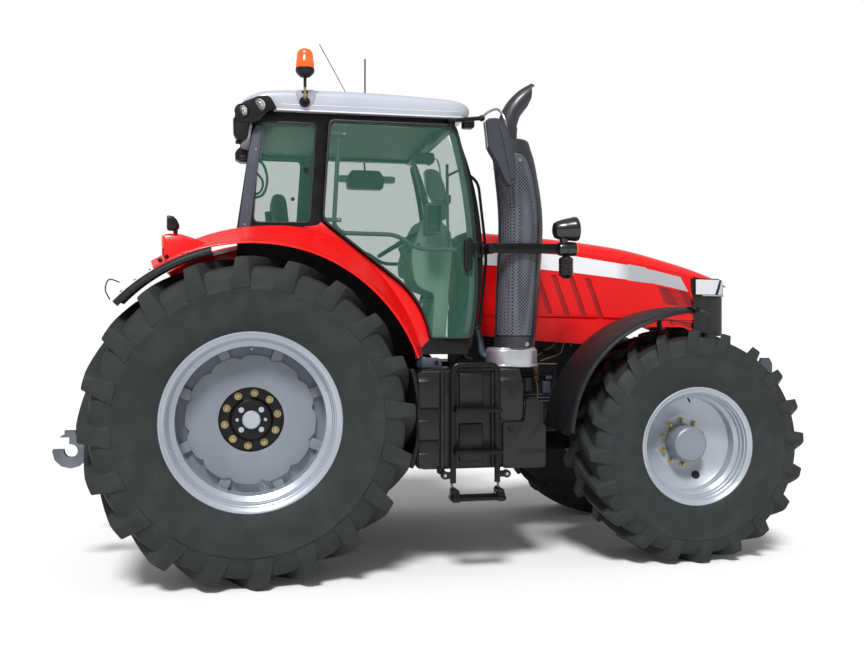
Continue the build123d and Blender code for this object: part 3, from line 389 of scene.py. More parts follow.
INNER_GREY = Finish(
    "grey cab lining", shade(104, 112, 108), roughness=0.62, stray=0.08, grain=900.0, relief=0.0001
)
INNER_DARK = Finish(
    "dark cab trim", shade(74, 82, 82), roughness=0.6, stray=0.1, patch=4.0, grain=900.0, relief=0.0001
)
SCREEN = Finish(
    "display screen", shade(20, 30, 34), roughness=0.1, stray=0.1, patch=4.0, grain=50.0, gloss_stray=0.03,
    coat=0.3,
)
INNER_GREEN = Finish(
    "grey-green cab trim", shade(146, 180, 166), roughness=0.6, stray=0.06, grain=900.0, relief=0.0001
)
PILLAR_GREY = Finish(
    "blue-grey trim", shade(70, 76, 88), roughness=0.42, metallic=0.1, stray=0.08, grain=800.0,
    relief=0.00005,
)
SEAL = Finish("door seal rubber", shade(30, 31, 34), stray=0.08, patch=6.0, grain=900.0, relief=0.00008)
PAD_GREY = Finish("grey roof pad", shade(158, 160, 172), stray=0.05, patch=6.0, grain=900.0, relief=0.00005)
CLEAR = Finish(
    "clear cover", shade(230, 234, 236), roughness=0.03, stray=0.02, patch=5.0, grain=50.0,
    gloss_stray=0.01, alpha=0.15,
)
STACK_BLACK = Finish(
    "black stack shell", shade(40, 42, 47), roughness=0.4, stray=0.1, grain=700.0, relief=0.00004, coat=0.2
)
PIPE_BLUE = Finish(
    "blue-grey pipe", shade(76, 88, 104), roughness=0.35, metallic=0.5, stray=0.1, patch=5.0, grain=600.0,
    relief=0.00004,
)
MIRROR_GREY = Finish(
    "dark grey mirror case", shade(52, 54, 62), roughness=0.48, stray=0.08, patch=4.0, grain=1000.0,
    relief=0.0001,
)
GLOSS_BLACK = Finish(
    "gloss black lamp body", shade(20, 21, 24), roughness=0.25, patch=4.0, grain=900.0, relief=0.00003,
    gloss_stray=0.06, coat=0.5,
)
STRAP_GREY = Finish(
    "worn strap", shade(118, 116, 112), metallic=0.5, stray=0.15, patch=12.0, grain=500.0, relief=0.0001
)
WORN_STEEL = Finish(
    "worn link steel", shade(112, 114, 122), metallic=0.55, stray=0.2, patch=9.0, grain=300.0, relief=0.0003
)
STACK_MESH = Perforated(
    "perforated exhaust guard", shade(88, 91, 99), roughness=0.42, metallic=0.3, stray=0.1, patch=5.0,
    grain=400.0, gloss_stray=0.06, pitch=0.0165,
)
# the base red is darker than the body paint: painted shade in the panels set back behind the bonnet's openings;
# the dark holes are the punched pattern
SHADED_INTAKE_MESH = Perforated(
    "perforated red panel, darker for painted shade", shade(170, 12, 16), roughness=0.4, stray=0.05, patch=5.0, grain=400.0,
    gloss_stray=0.06,
)
GRILLE_MESH = Perforated(
    "black grille mesh", shade(34, 36, 36), roughness=0.45, metallic=0.2, stray=0.1, patch=5.0, grain=400.0,
    gloss_stray=0.06,
)


# ---- Shaping -------------------------------------------------------------------------------------
class Axis(Enum):
    """The way that an outline is extruded or a profile is turned about."""

    X = Matrix(((0, 0, 1, 0), (1, 0, 0, 0), (0, 1, 0, 0), (0, 0, 0, 1)))
    Y = Matrix(((1, 0, 0, 0), (0, 0, 1, 0), (0, 1, 0, 0), (0, 0, 0, 1)))
    Z = Matrix.Identity(4)


def facing(start: Point, end: Point) -> Matrix:
    """Frame at start whose Z looks at end.

    Args:
        start, end: two points.

    Returns:
        The frame.
    """
    way = Vector(end) - Vector(start)
    return Matrix.Translation(start) @ way.to_track_quat("Z", "Y").to_matrix().to_4x4()


def curved(points: Sequence[Sequence[float]], steps: int = 6) -> list[tuple[float, ...]]:
    """Points of a smooth line through the given ones.

    Args:
        points: two or more points with any number of coordinates.
        steps: steps between two of them.

    Returns:
        The smooth line's points, ends included.
    """
    rows = [Vector(p) for p in points]
    rows = [2 * rows[0] - rows[1], *rows, 2 * rows[-1] - rows[-2]]
    out = []
    for a, b, c, d in zip(rows, rows[1:], rows[2:], rows[3:]):
        for i in range(steps):
            t = i / steps
            out.append(
                tuple(
                    0.5 * (
                        2 * b + (c - a) * t + (2 * a - 5 * b + 4 * c - d) * t**2
                        + (3 * b - a - 3 * c + d) * t**3
                    )
                )
            )
    return out + [tuple(rows[-2])]


def softened(points: Sequence[Sequence[float]], radius: float, steps: int = 5) -> list[tuple[float, ...]]:
    """A line of straight runs with its corners rounded.

    Args:
        points: the corners, ends included.
        radius: how far each way from a corner its bend reaches.
        steps: steps in a bend.

    Returns:
        The line's points.
    """
    rows = [Vector(p) for p in points]
    out = [tuple(rows[0])]
    for a, b, c in zip(rows, rows[1:], rows[2:]):
        reach = min(radius, 0.49 * (b - a).length, 0.49 * (c - b).length)
        start, end = b + (a - b).normalized() * reach, b + (c - b).normalized() * reach
        for i in range(steps + 1):
            t = i / steps
            out.append(tuple(start * (1 - t) ** 2 + b * 2 * t * (1 - t) + end * t**2))
    return out + [tuple(rows[-1])]


def loop(points: Sequence[Flat], radius: float, steps: int = 4) -> list[Flat]:
    """A closed outline with its corners rounded.

    Args:
        points: the corners.
        radius: how far each way from a corner its bend reaches.
        steps: steps in a bend.

    Returns:
        The outline.
    """
    count, out = len(points), []
    for i in range(count):
        a, b, c = Vector(points[i - 1]), Vector(points[i]), Vector(points[(i + 1) % count])
        reach = min(radius, 0.45 * (b - a).length, 0.45 * (c - b).length)
        start, end = b + (a - b).normalized() * reach, b + (c - b).normalized() * reach
        for k in range(steps + 1):
            t = k / steps
            out.append(tuple(start * (1 - t) ** 2 + b * 2 * t * (1 - t) + end * t**2))
    return out


class Form:
    """A mesh being shaped, in metres, with the rear axle at x = 0."""

    def __init__(self) -> None:
        """Start empty."""
        self.bm = bmesh.new()

    def add(self, part: bmesh.types.BMesh, place: Matrix | None = None, outward: bool = True) -> "Form":
        """Take a part in and free it.

        Args:
            part: the part's mesh.
            place: where it goes.
            outward: whether its faces are turned outward first.

        Returns:
            This form.
        """
        if place is not None:
            bmesh.ops.transform(part, matrix=place, verts=part.verts)
        if outward:
            bmesh.ops.recalc_face_normals(part, faces=part.faces)
        mesh = bpy.data.meshes.new("part")
        part.to_mesh(mesh)
        part.free()
        self.bm.from_mesh(mesh)
        bpy.data.meshes.remove(mesh)
        return self

    @staticmethod
    def ease(part: bmesh.types.BMesh, width: float, segments: int = 2, angle: float = 25.0) -> None:
        """Round a part's sharp edges.

        Args:
            part: the part's mesh.
            width: the rounding's width.
            segments: facets in it.
            angle: least angle of an edge that is rounded, in degrees.
        """
        if width <= 0:
            return
        bmesh.ops.recalc_face_normals(part, faces=part.faces)
        edges = [e for e in part.edges if len(e.link_faces) == 2 and e.calc_face_angle() > radians(angle)]
        bmesh.ops.bevel(
            part, geom=edges, offset=width, offset_type="OFFSET", segments=segments, profile=0.5,
            affect="EDGES", clamp_overlap=True, material=-1,
        )

    def box(
        self, x: Flat, y: Flat, z: Flat, ease: float = 0.004, segments: int = 2, place: Matrix | None = None
    ) -> "Form":
        """Add a box with eased edges.

        Args:
            x, y, z: its limits.
            ease: width of the eased edges.
            segments: facets in them.
            place: a further turn or move.

        Returns:
            This form.
        """
        part = bmesh.new()
        size = Matrix.Diagonal((x[1] - x[0], y[1] - y[0], z[1] - z[0], 1))
        middle = Matrix.Translation((sum(x) / 2, sum(y) / 2, sum(z) / 2))
        bmesh.ops.create_cube(part, size=1, matrix=middle @ size)
        self.ease(part, ease, segments)
        return self.add(part, place)

    def prism(
        self, outline: Sequence[Flat], axis: Axis, low: float, high: float, ease: float = 0.003,
        segments: int = 2, place: Matrix | None = None, holes: Sequence[Sequence[Flat]] = (),
    ) -> "Form":
        """Add an outline extruded along an axis.

        Args:
            outline: corners in the two other axes, in the order X, Y, Z.
            axis: the extrusion's axis.
            low, high: its limits along the axis.
            ease: width of the eased edges.
            segments: facets in them.
            place: a further turn or move.
            holes: outlines cut out of it.

        Returns:
            This form.
        """
        part = bmesh.new()
        rims = []
        for corners in (outline, *holes):
            verts = [part.verts.new((u, v, low)) for u, v in corners]
            rims += [part.edges.new((verts[i - 1], verts[i])) for i in range(len(verts))]
        if holes:
            bmesh.ops.triangle_fill(part, use_beauty=True, use_dissolve=True, edges=rims)
        else:
            part.faces.new(part.verts)
        grown = bmesh.ops.extrude_face_region(part, geom=part.faces[:])["geom"]
        moved = [g for g in grown if isinstance(g, bmesh.types.BMVert)]
        bmesh.ops.translate(part, verts=moved, vec=(0, 0, high - low))
        self.ease(part, ease, segments)
        return self.add(part, axis.value if place is None else place @ axis.value)

    def turned(
        self, profile: Sequence[Flat], place: Matrix, steps: int = 48, closed: bool = False,
        arc: float = 2 * pi,
    ) -> "Form":
        """Add a profile turned about the Z of a frame.

        Args:
            profile: rows of distance along the axis and radius.
            place: the frame.
            steps: facets round.
            closed: whether the profile's ends are joined.
            arc: how far it turns.

        Returns:
            This form.
        """
        part = bmesh.new()
        verts = [part.verts.new((radius, 0, along)) for along, radius in profile]
        pairs = list(zip(verts, verts[1:])) + ([(verts[-1], verts[0])] if closed else [])
        edges = [part.edges.new(pair) for pair in pairs]
        full = abs(arc) > 6.28
        bmesh.ops.spin(
            part, geom=verts + edges, cent=(0, 0, 0), axis=(0, 0, 1), dvec=(0, 0, 0), angle=arc,
            steps=steps, use_merge=full,
        )
        bmesh.ops.remove_doubles(part, verts=part.verts, dist=1e-6)
        return self.add(part, place)

    def disc(
        self, centre: Point, axis: Axis, low: float, high: float, radius: float, steps: int = 32,
        ease: float = 0.002,
    ) -> "Form":
        """Add a disc or short cylinder with eased rims.

        Args:
            centre: a point on its axis.
            axis: its axis.
            low, high: ends along the axis, from the centre.
            radius: its radius.
            steps: facets round.
            ease: width of the eased rims.

        Returns:
            This form.
        """
        rows = [
            (low, 0), (low, radius - ease), (low + ease, radius), (high - ease, radius),
            (high, radius - ease), (high, 0),
        ]
        return self.turned(rows, Matrix.Translation(centre) @ axis.value, steps)

    def rod(self, points: Sequence[Point], radius: float, sides: int = 12, flat: float = 1.0) -> "Form":
        """Add a round bar along a line.

        Args:
            points: the line.
            radius: the bar's radius.
            sides: facets round.
            flat: thickness as a share of the width.

        Returns:
            This form.
        """
        part = bmesh.new()
        rows = [Vector(p) for p in points]
        ways = [(b - a).normalized() for a, b in zip(rows, rows[1:])]
        ways = [ways[0]] + [(a + b).normalized() for a, b in zip(ways, ways[1:])] + [ways[-1]]
        turn = ways[0].to_track_quat("Z", "Y")
        ring = bmesh.ops.create_circle(part, cap_ends=True, segments=sides, radius=radius)["verts"]
        bmesh.ops.scale(part, verts=ring, vec=(1, flat, 1))
        here = Matrix.Translation(rows[0]) @ turn.to_matrix().to_4x4()
        bmesh.ops.transform(part, matrix=here, verts=ring)
        edges = part.edges[:]
        for (a, way0), (b, way1) in zip(zip(rows, ways), zip(rows[1:], ways[1:])):
            grown = bmesh.ops.extrude_edge_only(part, edges=edges)["geom"]
            verts = [g for g in grown if isinstance(g, bmesh.types.BMVert)]
            edges = [g for g in grown if isinstance(g, bmesh.types.BMEdge)]
            turn = way1.rotation_difference(way0).inverted() @ turn if way0 != way1 else turn
            there = Matrix.Translation(b) @ turn.to_matrix().to_4x4()
            bmesh.ops.transform(part, matrix=there @ here.inverted(), verts=verts)
            here = there
        bmesh.ops.holes_fill(part, edges=edges, sides=0)
        return self.add(part)

    def skin(
        self, rows: Sequence[Sequence[Point]], ring: bool = True, caps: bool = True, ease: float = 0.0,
        segments: int = 2, angle: float = 25.0, wall: float = 0.0, join: bool = False,
    ) -> "Form":
        """Add a skin through rows of as many points each.

        Args:
            rows: the rows.
            ring: whether each row is closed round.
            caps: whether the first and last rows are filled.
            ease: width of the eased edges.
            segments: facets in them.
            angle: least angle of an edge that is eased.
            wall: thickness given to an open skin.
            join: whether the last row joins the first.

        Returns:
            This form.
        """
        part = bmesh.new()
        grid = [[part.verts.new(p) for p in row] for row in rows]
        count = len(grid[0])
        pairs = list(zip(grid, grid[1:])) + ([(grid[-1], grid[0])] if join else [])
        for low, high in pairs:
            for i in range(0 if ring else 1, count):
                part.faces.new((low[i - 1], low[i], high[i], high[i - 1]))
        if ring and caps and not join:
            part.faces.new(grid[0])
            part.faces.new(grid[-1])
        bmesh.ops.remove_doubles(part, verts=part.verts, dist=1e-6)
        bmesh.ops.recalc_face_normals(part, faces=part.faces)
        if wall:
            bmesh.ops.solidify(part, geom=part.faces[:], thickness=wall)
        self.ease(part, ease, segments, angle)
        return self.add(part)

    def bolt(self, centre: Point, tip: Point, radius: float, height: float, washer: float = 1.45) -> "Form":
        """Add a hexagon bolt head on its washer.

        Args:
            centre: the middle of its seat.
            tip: a point that it faces.
            radius: half the head's width over corners.
            height: the head's height.
            washer: the washer's radius over the head's.

        Returns:
            This form.
        """
        place = facing(centre, tip)
        rows = [(0, 0), (0, radius * washer), (height * 0.25, radius * washer), (height * 0.3, radius * 0.9)]
        self.turned(rows, place, 16)
        rows = [(height * 0.2, radius), (height * 0.85, radius), (height, radius * 0.8), (height, 0)]
        return self.turned(rows, place, 6)

    def ball(self, centre: Point, radius: float, stretch: Point = (1, 1, 1)) -> "Form":
        """Add a ball.

        Args:
            centre: its middle.
            radius: its radius.
            stretch: scale along each axis.

        Returns:
            This form.
        """
        part = bmesh.new()
        place = Matrix.Translation(centre) @ Matrix.Diagonal((*stretch, 1))
        bmesh.ops.create_uvsphere(part, u_segments=20, v_segments=12, radius=radius, matrix=place)
        return self.add(part)

    def repeat(self, places: Iterable[Matrix]) -> "Form":
        """Copy the whole form to each of several places, in place of itself.

        Args:
            places: where the copies go.

        Returns:
            This form.
        """
        mesh = bpy.data.meshes.new("part")
        self.bm.to_mesh(mesh)
        self.bm.clear()
        for place in places:
            copy = bmesh.new()
            copy.from_mesh(mesh)
            self.add(copy, place, outward=False)
        bpy.data.meshes.remove(mesh)
        return self

    def flipped(self) -> "Form":
        """This form's mirror image across the middle of the tractor, as a new form."""
        twin = Form()
        twin.bm.free()
        twin.bm = self.bm.copy()
        bmesh.ops.scale(twin.bm, verts=twin.bm.verts, vec=(1, -1, 1))
        bmesh.ops.reverse_faces(twin.bm, faces=twin.bm.faces)
        return twin

    def doubled(self) -> "Form":
        """This form with its mirror image beside it."""
        return self.add(self.flipped().bm, outward=False)

    def moved(self, place: Matrix) -> "Form":
        """Move the whole form.

        Args:
            place: the move.

        Returns:
            This form.
        """
        bmesh.ops.transform(self.bm, matrix=place, verts=self.bm.verts)
        return self

    def piece(
        self, name: str, body: str, slot: str, finish: Finish, stands_for: Sequence[str] = (),
        angle: float = 32.0,
    ) -> bpy.types.Object:
        """Make the form a piece of the tractor.

        Args:
            name: the piece's name.
            body: the body that it rides on.
            slot: the record's material slot; not used.
            finish: what it is finished in.
            stands_for: CAD nodes that it replaces.
            angle: edges sharper than this stay crisp, in degrees.

        Returns:
            The piece's object.
        """
        bmesh.ops.translate(self.bm, verts=self.bm.verts, vec=(REAR_AXLE_X, 0, 0))
        mesh = bpy.data.meshes.new(name)
        self.bm.to_mesh(mesh)
        self.bm.free()
        mesh.materials.append(finish.material())
        mesh.shade_smooth()
        mesh.set_sharp_from_angle(angle=radians(angle))
        made = bpy.data.objects.new(name, mesh)
        bpy.context.scene.collection.objects.link(made)
        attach(made, body)
        if stands_for:
            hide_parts(*stands_for)
        LOG.info("%s: %d faces on %s", name, len(mesh.polygons), body)
        return made


def dress(node: str, finish: Finish) -> None:
    """Give a CAD node its finish.

    Args:
        node: the node's name.
        finish: its finish.
    """
    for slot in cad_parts[node].material_slots:
        slot.material = finish.material()


# ---- Wheels --------------------------------------------------------------------------------------
@dataclass
class Tyre:
    """A chevron-lugged tyre about an axle along Y, drawn with its outer side to +Y."""

    radius: float
    width: float
    bead_r: float
    flange_h: float
    rim_half: float
    lug_h: float
    centre_y: float
    axle_x: float
    lugs: int = 20
    lug_foot: float = 0.133
    lug_tip: float = 0.079
    lug_sweep: float = 0.25
    foot_share: float = 0.795  # the ring on the sidewall where the lugs end, as a share of the radius

    def place(self) -> Matrix:
        """Frame of the wheel: its Z along the axle, outward, and its X forward."""
        return Matrix.Translation((self.axle_x, self.centre_y, self.radius)) @ Axis.Y.value

    def profile(self) -> list[Flat]:
        """Half of the carcass from the rim to the crown: distance from its middle plane, and radius."""
        low, crown, half = self.bead_r + self.flange_h, self.radius - self.lug_h, self.width / 2
        ring = self.foot_share * self.radius
        rows = [
            (self.rim_half - 0.03, self.bead_r + 0.002), (self.rim_half + 0.006, low - 0.012),
            (self.rim_half + 0.018, low + 0.012), (half * 0.955, low + 0.045), (half * 0.985, low + 0.1),
            (half * 0.995, low + (ring - low) * 0.72), (half * 0.992, ring - 0.014),
            (half * 0.998, ring - 0.008), (half * 0.998, ring), (half * 0.984, ring + 0.006),
            (half * 0.965, ring + (crown - ring) * 0.35), (half * 0.93, ring + (crown - ring) * 0.62),
            (half * 0.86, ring + (crown - ring) * 0.86), (half * 0.72, crown - 0.006),
            (half * 0.4, crown - 0.001), (0, crown),
        ]
        return rows

    def lug(self) -> Form:
        """One bar of the chevron, standing at the top of the outer half."""
        size = self.radius / REAR_RADIUS
        half, tip, foot = self.width / 2, self.lug_tip * size / 2, self.lug_foot * size / 2
        y_in, sweep = -0.1 * half, self.lug_sweep * size
        rows = []
        for share, top_drop, y_shift in (
            (0.0, 0.006, 0.0), (0.12, 0.0, 0.0), (0.3, 0.0, 0.0), (0.5, 0.001, 0.0), (0.7, 0.003, 0.0),
            (0.86, 0.006, 0.0), (1.0, 0.012, -0.014),
        ):
            y = y_in + (half - 0.001 - y_in) * share
            lead = sweep * (0.5 - share ** 0.9)
            top = self.radius - top_drop
            low = self.radius * (
                0.93 if share < 0.7 else 0.93
                - (0.93 - self.foot_share - 0.005) * ((share - 0.7) / 0.3) ** 1.5
            )
            base = tip + (foot - tip) * (0.55 if share < 0.7 else 0.55 + 0.45 * (share - 0.7) / 0.3)
            corners = (
                (lead - tip, top, y + y_shift), (lead + tip, top, y + y_shift), (lead + base, low, y),
                (lead - base, low, y),
            )
            rows.append([(r * sin(run / r), r * cos(run / r), depth) for run, r, depth in corners])
        return Form().skin(rows, ease=0.007 * size, segments=2, angle=40)

    def tread(self) -> Form:
        """All the lugs of one side's outer half and of its inner half."""
        lead = 0.061  # radians that the first lug is turned
        pitch = 2 * pi / self.lugs
        outer = self.lug().repeat(Matrix.Rotation(-(lead + i * pitch), 4, "Z") for i in range(self.lugs))
        inner = self.lug()
        bmesh.ops.scale(inner.bm, verts=inner.bm.verts, vec=(1, 1, -1))
        bmesh.ops.reverse_faces(inner.bm, faces=inner.bm.faces)
        inner.repeat(Matrix.Rotation(-(lead + (i + 0.5) * pitch), 4, "Z") for i in range(self.lugs))
        return outer.add(inner.bm, outward=False)

    def shape(self) -> Form:
        """The whole tyre on the left-hand side."""
        rows = self.profile()
        ring = [(y, r) for y, r in rows] + [(-y, r) for y, r in reversed(rows[:-1])]
        made = Form().turned(ring, Matrix.Identity(4), 120, closed=True)
        return made.add(self.tread().bm, outward=False).moved(self.place())

    def build(self, axle: str) -> None:
        """Make both tyres of an axle.

        Args:
            axle: rear or front.
        """
        left = self.shape()
        for side, form in (("right", left.flipped()), ("left", left)):
            form.piece(
                f"{axle}_tyre_rubber_{side}", f"wheel_{axle}_{side}", "tyre", TYRE, [f"{axle}_tyre_{side}"]
            )


@dataclass
class Rim:
    """A drop-centre rim, its lip outward."""

    tyre: Tyre
    well_depth: float
    dish_y: float  # outer face of the dish from the wheel's centre plane

    def barrel(self) -> Form:
        """The rolled rim, in the wheel's frame."""
        t = self.tyre
        edge, lip, seat, well = (
            t.rim_half + 0.012, t.bead_r + t.flange_h, t.bead_r, t.bead_r - self.well_depth
        )
        outer = [
            (edge, lip), (edge + 0.004, lip - 0.004), (edge + 0.004, lip - 0.010),
            (edge - 0.004, lip - 0.018), (edge - 0.012, seat - 0.010), (edge - 0.03, seat - 0.013),
            (edge - 0.034, seat - 0.019), (edge - 0.062, seat - 0.024), (edge - 0.068, seat - 0.030),
            (edge - 0.09, seat - 0.034), (edge - 0.112, well - 0.012), (0.1, well - 0.012),
            (0.0, well - 0.012), (-0.12, well - 0.012), (-edge + 0.1, seat - 0.03), (-edge, seat - 0.012),
            (-edge, lip), (-edge + 0.012, lip), (-edge + 0.012, seat - 0.001), (edge - 0.012, seat - 0.001),
            (edge - 0.010, lip - 0.002),
        ]
        return Form().turned(outer, Matrix.Identity(4), 128, closed=True)

    def nuts(self, circle: float, start: float, step: float, y: float, size: Flat) -> Form:
        """Ring of nuts that hold the wheel.

        Args:
            circle: radius of their circle.
            start, step: degrees to the first, and from each to the next.
            y: the face that they stand on.
            size: radius and height of a nut.

        Returns:
            The nuts, in the wheel's frame.
        """
        made = Form()
        for i in range(WHEEL_NUTS):
            turn = radians(start + step * i)
            at = (circle * cos(turn), circle * sin(turn), y)
            made.bolt(at, (at[0], at[1], 1), *size)
        return made

    def pieces(self, axle: str, parts: Sequence[tuple[str, Form, str, Finish]]) -> None:
        """Make both wheels of an axle from the parts of the left one.

        Args:
            axle: rear or front.
            parts: each part's name, form, slot and finish.
        """
        place = self.tyre.place()
        for name, form, slot, finish in parts:
            form.moved(place)
            for side, made in (("right", form.flipped()), ("left", form)):
                made.piece(
                    f"{axle}_{name}_{side}", f"wheel_{axle}_{side}", slot, finish,
                    [f"{axle}_wheel_{side}"] if name == "rim" else (),
                )


@dataclass
class RearWheel(Rim):
    """Rear rim with its scalloped disc, and the axle flange in the disc's bore."""

    dish_r: float = 0.41
    bore_r: float = 0.205
    lobes: int = 12
    wave: float = 0.024

    def disc_plate(self) -> Form:
        """The scalloped disc with its bore, in the wheel's frame."""
        rim, steps = [], self.lobes * 12
        for i in range(steps):
            turn = 2 * pi * i / steps
            near = abs(((turn * self.lobes / (2 * pi) + 0.5) % 1) - 0.5) * 2
            dip = self.wave * max(0.0, 1 - near / 0.42) ** 1.2
            rim.append(
                (
                    (self.dish_r - dip) * cos(turn + radians(10)),
                    (self.dish_r - dip) * sin(turn + radians(10)),
                )
            )
        bore = [(self.bore_r * cos(2 * pi * i / 64), self.bore_r * sin(2 * pi * i / 64)) for i in range(64)]
        return Form().prism(rim, Axis.Z, self.dish_y - 0.014, self.dish_y, 0.003, holes=[bore])

    def build(self) -> None:
        """Make both wheels."""
        t, y = self.tyre, self.dish_y
        well = t.bead_r - self.well_depth - 0.006
        steel = self.barrel()
        ears = Form().turned(
            [
                (y - 0.05, well), (y - 0.03, self.dish_r - 0.02), (y - 0.02, self.dish_r - 0.04),
                (y - 0.02, self.bore_r + 0.02), (y - 0.034, self.bore_r + 0.02),
                (y - 0.044, self.dish_r - 0.02), (y - 0.064, well),
            ],
            Matrix.Identity(4), 96, closed=True,
        )
        for i in range(8):
            ears.box(
                (self.dish_r - 0.06, well), (-0.034, 0.034), (y - 0.03, y - 0.014), 0.003,
                place=Matrix.Rotation((i + 0.5) * pi / 4, 4, "Z"),
            )
        hub = Form().turned(
            [
                (y - 0.17, 0.0), (y - 0.17, 0.13), (y - 0.045, 0.235), (y - 0.014, 0.238),
                (y - 0.014, self.bore_r), (y - 0.03, self.bore_r - 0.004), (y - 0.03, 0.138),
                (y - 0.022, 0.132), (y + 0.004, 0.128), (y + 0.010, 0.12), (y + 0.010, 0.0),
            ],
            Matrix.Identity(4), 64,
        )
        cap = Form().turned(
            [(y, 0.06), (y + 0.034, 0.057), (y + 0.04, 0.05), (y + 0.04, 0.0)], Matrix.Identity(4), 40
        )
        nuts, plugs = self.nuts(0.168, 83, -36, y - 0.03, (0.0165, 0.03)), Form()
        for i, radius in ((0.5, 0.018), (1.5, 0.018), (2.5, 0.018), (3.5, 0.018), (0, 0.011), (2, 0.011)):
            at = (0.088 * cos(i * pi / 2), 0.088 * sin(i * pi / 2), y + 0.008)
            plugs.turned(
                [(0, radius), (0.006, radius), (0.008, radius - 0.002), (0.008, 0)], Matrix.Translation(at),
                20,
            )
        valve = Form().rod(
            [(0.0, well - 0.004, y + 0.05), (0.0, well - 0.02, y + 0.075), (0.0, well - 0.022, y + 0.11)],
            0.006,
        )
        parts = (
            ("rim", steel, "silver_paint", SILVER),
            ("disc", self.disc_plate().add(ears.bm), "silver_paint", DISH_GREY),
            ("hub", hub, "silver_paint", FRAME_BLACK), ("cap", cap, "silver_paint", SILVER),
            ("nuts", nuts, "bright_steel", BRASS), ("plugs", plugs, "bright_steel", SILVER),
            ("valve", valve, "bright_steel", STEEL),
        )
        self.pieces("rear", parts)


@dataclass
class FrontWheel(Rim):
    """Front rim with its deep dish, ten bolts and the planetary hub's cap."""

    def build(self) -> None:
        """Make both wheels."""
        t, y = self.tyre, self.dish_y
        well = t.bead_r - self.well_depth - 0.012
        dish = Form().turned(
            [
                (y, 0.0), (y, 0.185), (y + 0.004, 0.2), (y + 0.05, well - 0.02), (y + 0.062, well),
                (y + 0.05, well + 0.004), (y - 0.012, 0.2), (y - 0.014, 0.0),
            ],
            Matrix.Identity(4), 96,
        )
        cap_y = t.width / 2 - 0.135
        cap = Form().turned(
            [
                (y, 0.128), (y + 0.03, 0.127), (cap_y - 0.02, 0.121), (cap_y - 0.008, 0.117),
                (cap_y, 0.106), (cap_y - 0.003, 0.098), (cap_y - 0.003, 0.0),
            ],
            Matrix.Identity(4), 64,
        )
        nuts = self.nuts(0.155, 20, 36, y, (0.0145, 0.034))
        valve = Form().rod([(0.0, well - 0.002, y + 0.09), (0.0, well - 0.03, y + 0.13)], 0.006)
        hole = Form().turned(
            [(y + 0.0295, 0.0), (y + 0.03, 0.026), (y + 0.026, 0.030)],
            Matrix.Rotation(
                radians(-68), 4, "Z"
            ) @ Matrix.Translation((0.262, 0, 0.005)) @ Matrix.Rotation(radians(-20), 4, "Y"),
            28,
        )
        parts = (
            ("rim", self.barrel().add(dish.bm), "silver_paint", SILVER),
            ("cap", cap, "silver_paint", DISH_GREY), ("nuts", nuts, "bright_steel", BRASS),
            ("valve", valve, "black_plastic", SATIN_BLACK),
            ("hand_hole", hole, "black_plastic", SATIN_BLACK),
        )
        self.pieces("front", parts)


# ---- Cutting by outlines -------------------------------------------------------------------------
def arc(start: Flat, via: Flat, end: Flat, steps: int = 12) -> list[Flat]:
    """Points of the arc through three points, ends included.

    Args:
        start, via, end: the three points.
        steps: chords in it.

    Returns:
        The points.
    """
    (ax, ay), (bx, by), (cx, cy) = start, via, end
    twice = 2 * (ax * (by - cy) + bx * (cy - ay) + cx * (ay - by))
    squares = [x * x + y * y for x, y in (start, via, end)]
    ux = (squares[0] * (by - cy) + squares[1] * (cy - ay) + squares[2] * (ay - by)) / twice
    uy = (squares[0] * (cx - bx) + squares[1] * (ax - cx) + squares[2] * (bx - ax)) / twice
    radius = sqrt((ax - ux) ** 2 + (ay - uy) ** 2)
    first, middle, last = (atan2(y - uy, x - ux) for x, y in (start, via, end))
    sweep = (last - first) % (2 * pi)
    if (middle - first) % (2 * pi) > sweep:
        sweep -= 2 * pi
    turns = [first + sweep * i / steps for i in range(steps + 1)]
    return [(ux + radius * cos(turn), uy + radius * sin(turn)) for turn in turns]


def inset(outline: Sequence[Flat], gap: float) -> list[Flat]:
    """An outline moved in all round.

    Args:
        outline: its corners.
        gap: how far it moves in.

    Returns:
        The smaller outline.
    """
    count, area = len(outline), 0.0
    for i in range(count):
        area += outline[i - 1][0] * outline[i][1] - outline[i][0] * outline[i - 1][1]
    hand = 1 if area > 0 else -1
    out = []
    for i in range(count):
        a, b, c = Vector(outline[i - 1]), Vector(outline[i]), Vector(outline[(i + 1) % count])
        before, after = (b - a).normalized(), (c - b).normalized()
        normal = (Vector((-before.y, before.x)) + Vector((-after.y, after.x))) * hand
        out.append(tuple(b + normal * gap / max(0.3, 1 + before.dot(after))))
    return out


def within(x: float, z: float, outline: Sequence[Flat]) -> bool:
    """Whether a point is inside an outline.

    Args:
        x: the point's x.
        z: its height.
        outline: x and z of the outline's corners.

    Returns:
        True inside.
    """
    inside = False
    for (ax, az), (bx, bz) in zip(outline, [*outline[1:], outline[0]]):
        if (az > z) != (bz > z) and x < (bx - ax) * (z - az) / (bz - az) + ax:
            inside = not inside
    return inside


def carve(part: bmesh.types.BMesh, outline: Sequence[Flat], keep: bool) -> None:
    """Cut a skin along an outline that is drawn from the side.

    Args:
        part: the skin's mesh.
        outline: x and z of the outline's corners.
        keep: whether the inside stays, and not the rest.
    """
    for (ax, az), (bx, bz) in zip(outline, [*outline[1:], outline[0]]):
        geom = part.verts[:] + part.edges[:] + part.faces[:]
        bmesh.ops.bisect_plane(
            part, geom=geom, dist=1e-5, plane_co=(ax, 0, az), plane_no=(bz - az, 0, ax - bx)
        )
    gone = []
    for face in part.faces:
        middle = face.calc_center_median()
        if within(middle.x, middle.z, outline) != keep:
            gone.append(face)
    bmesh.ops.delete(part, geom=gone, context="FACES")


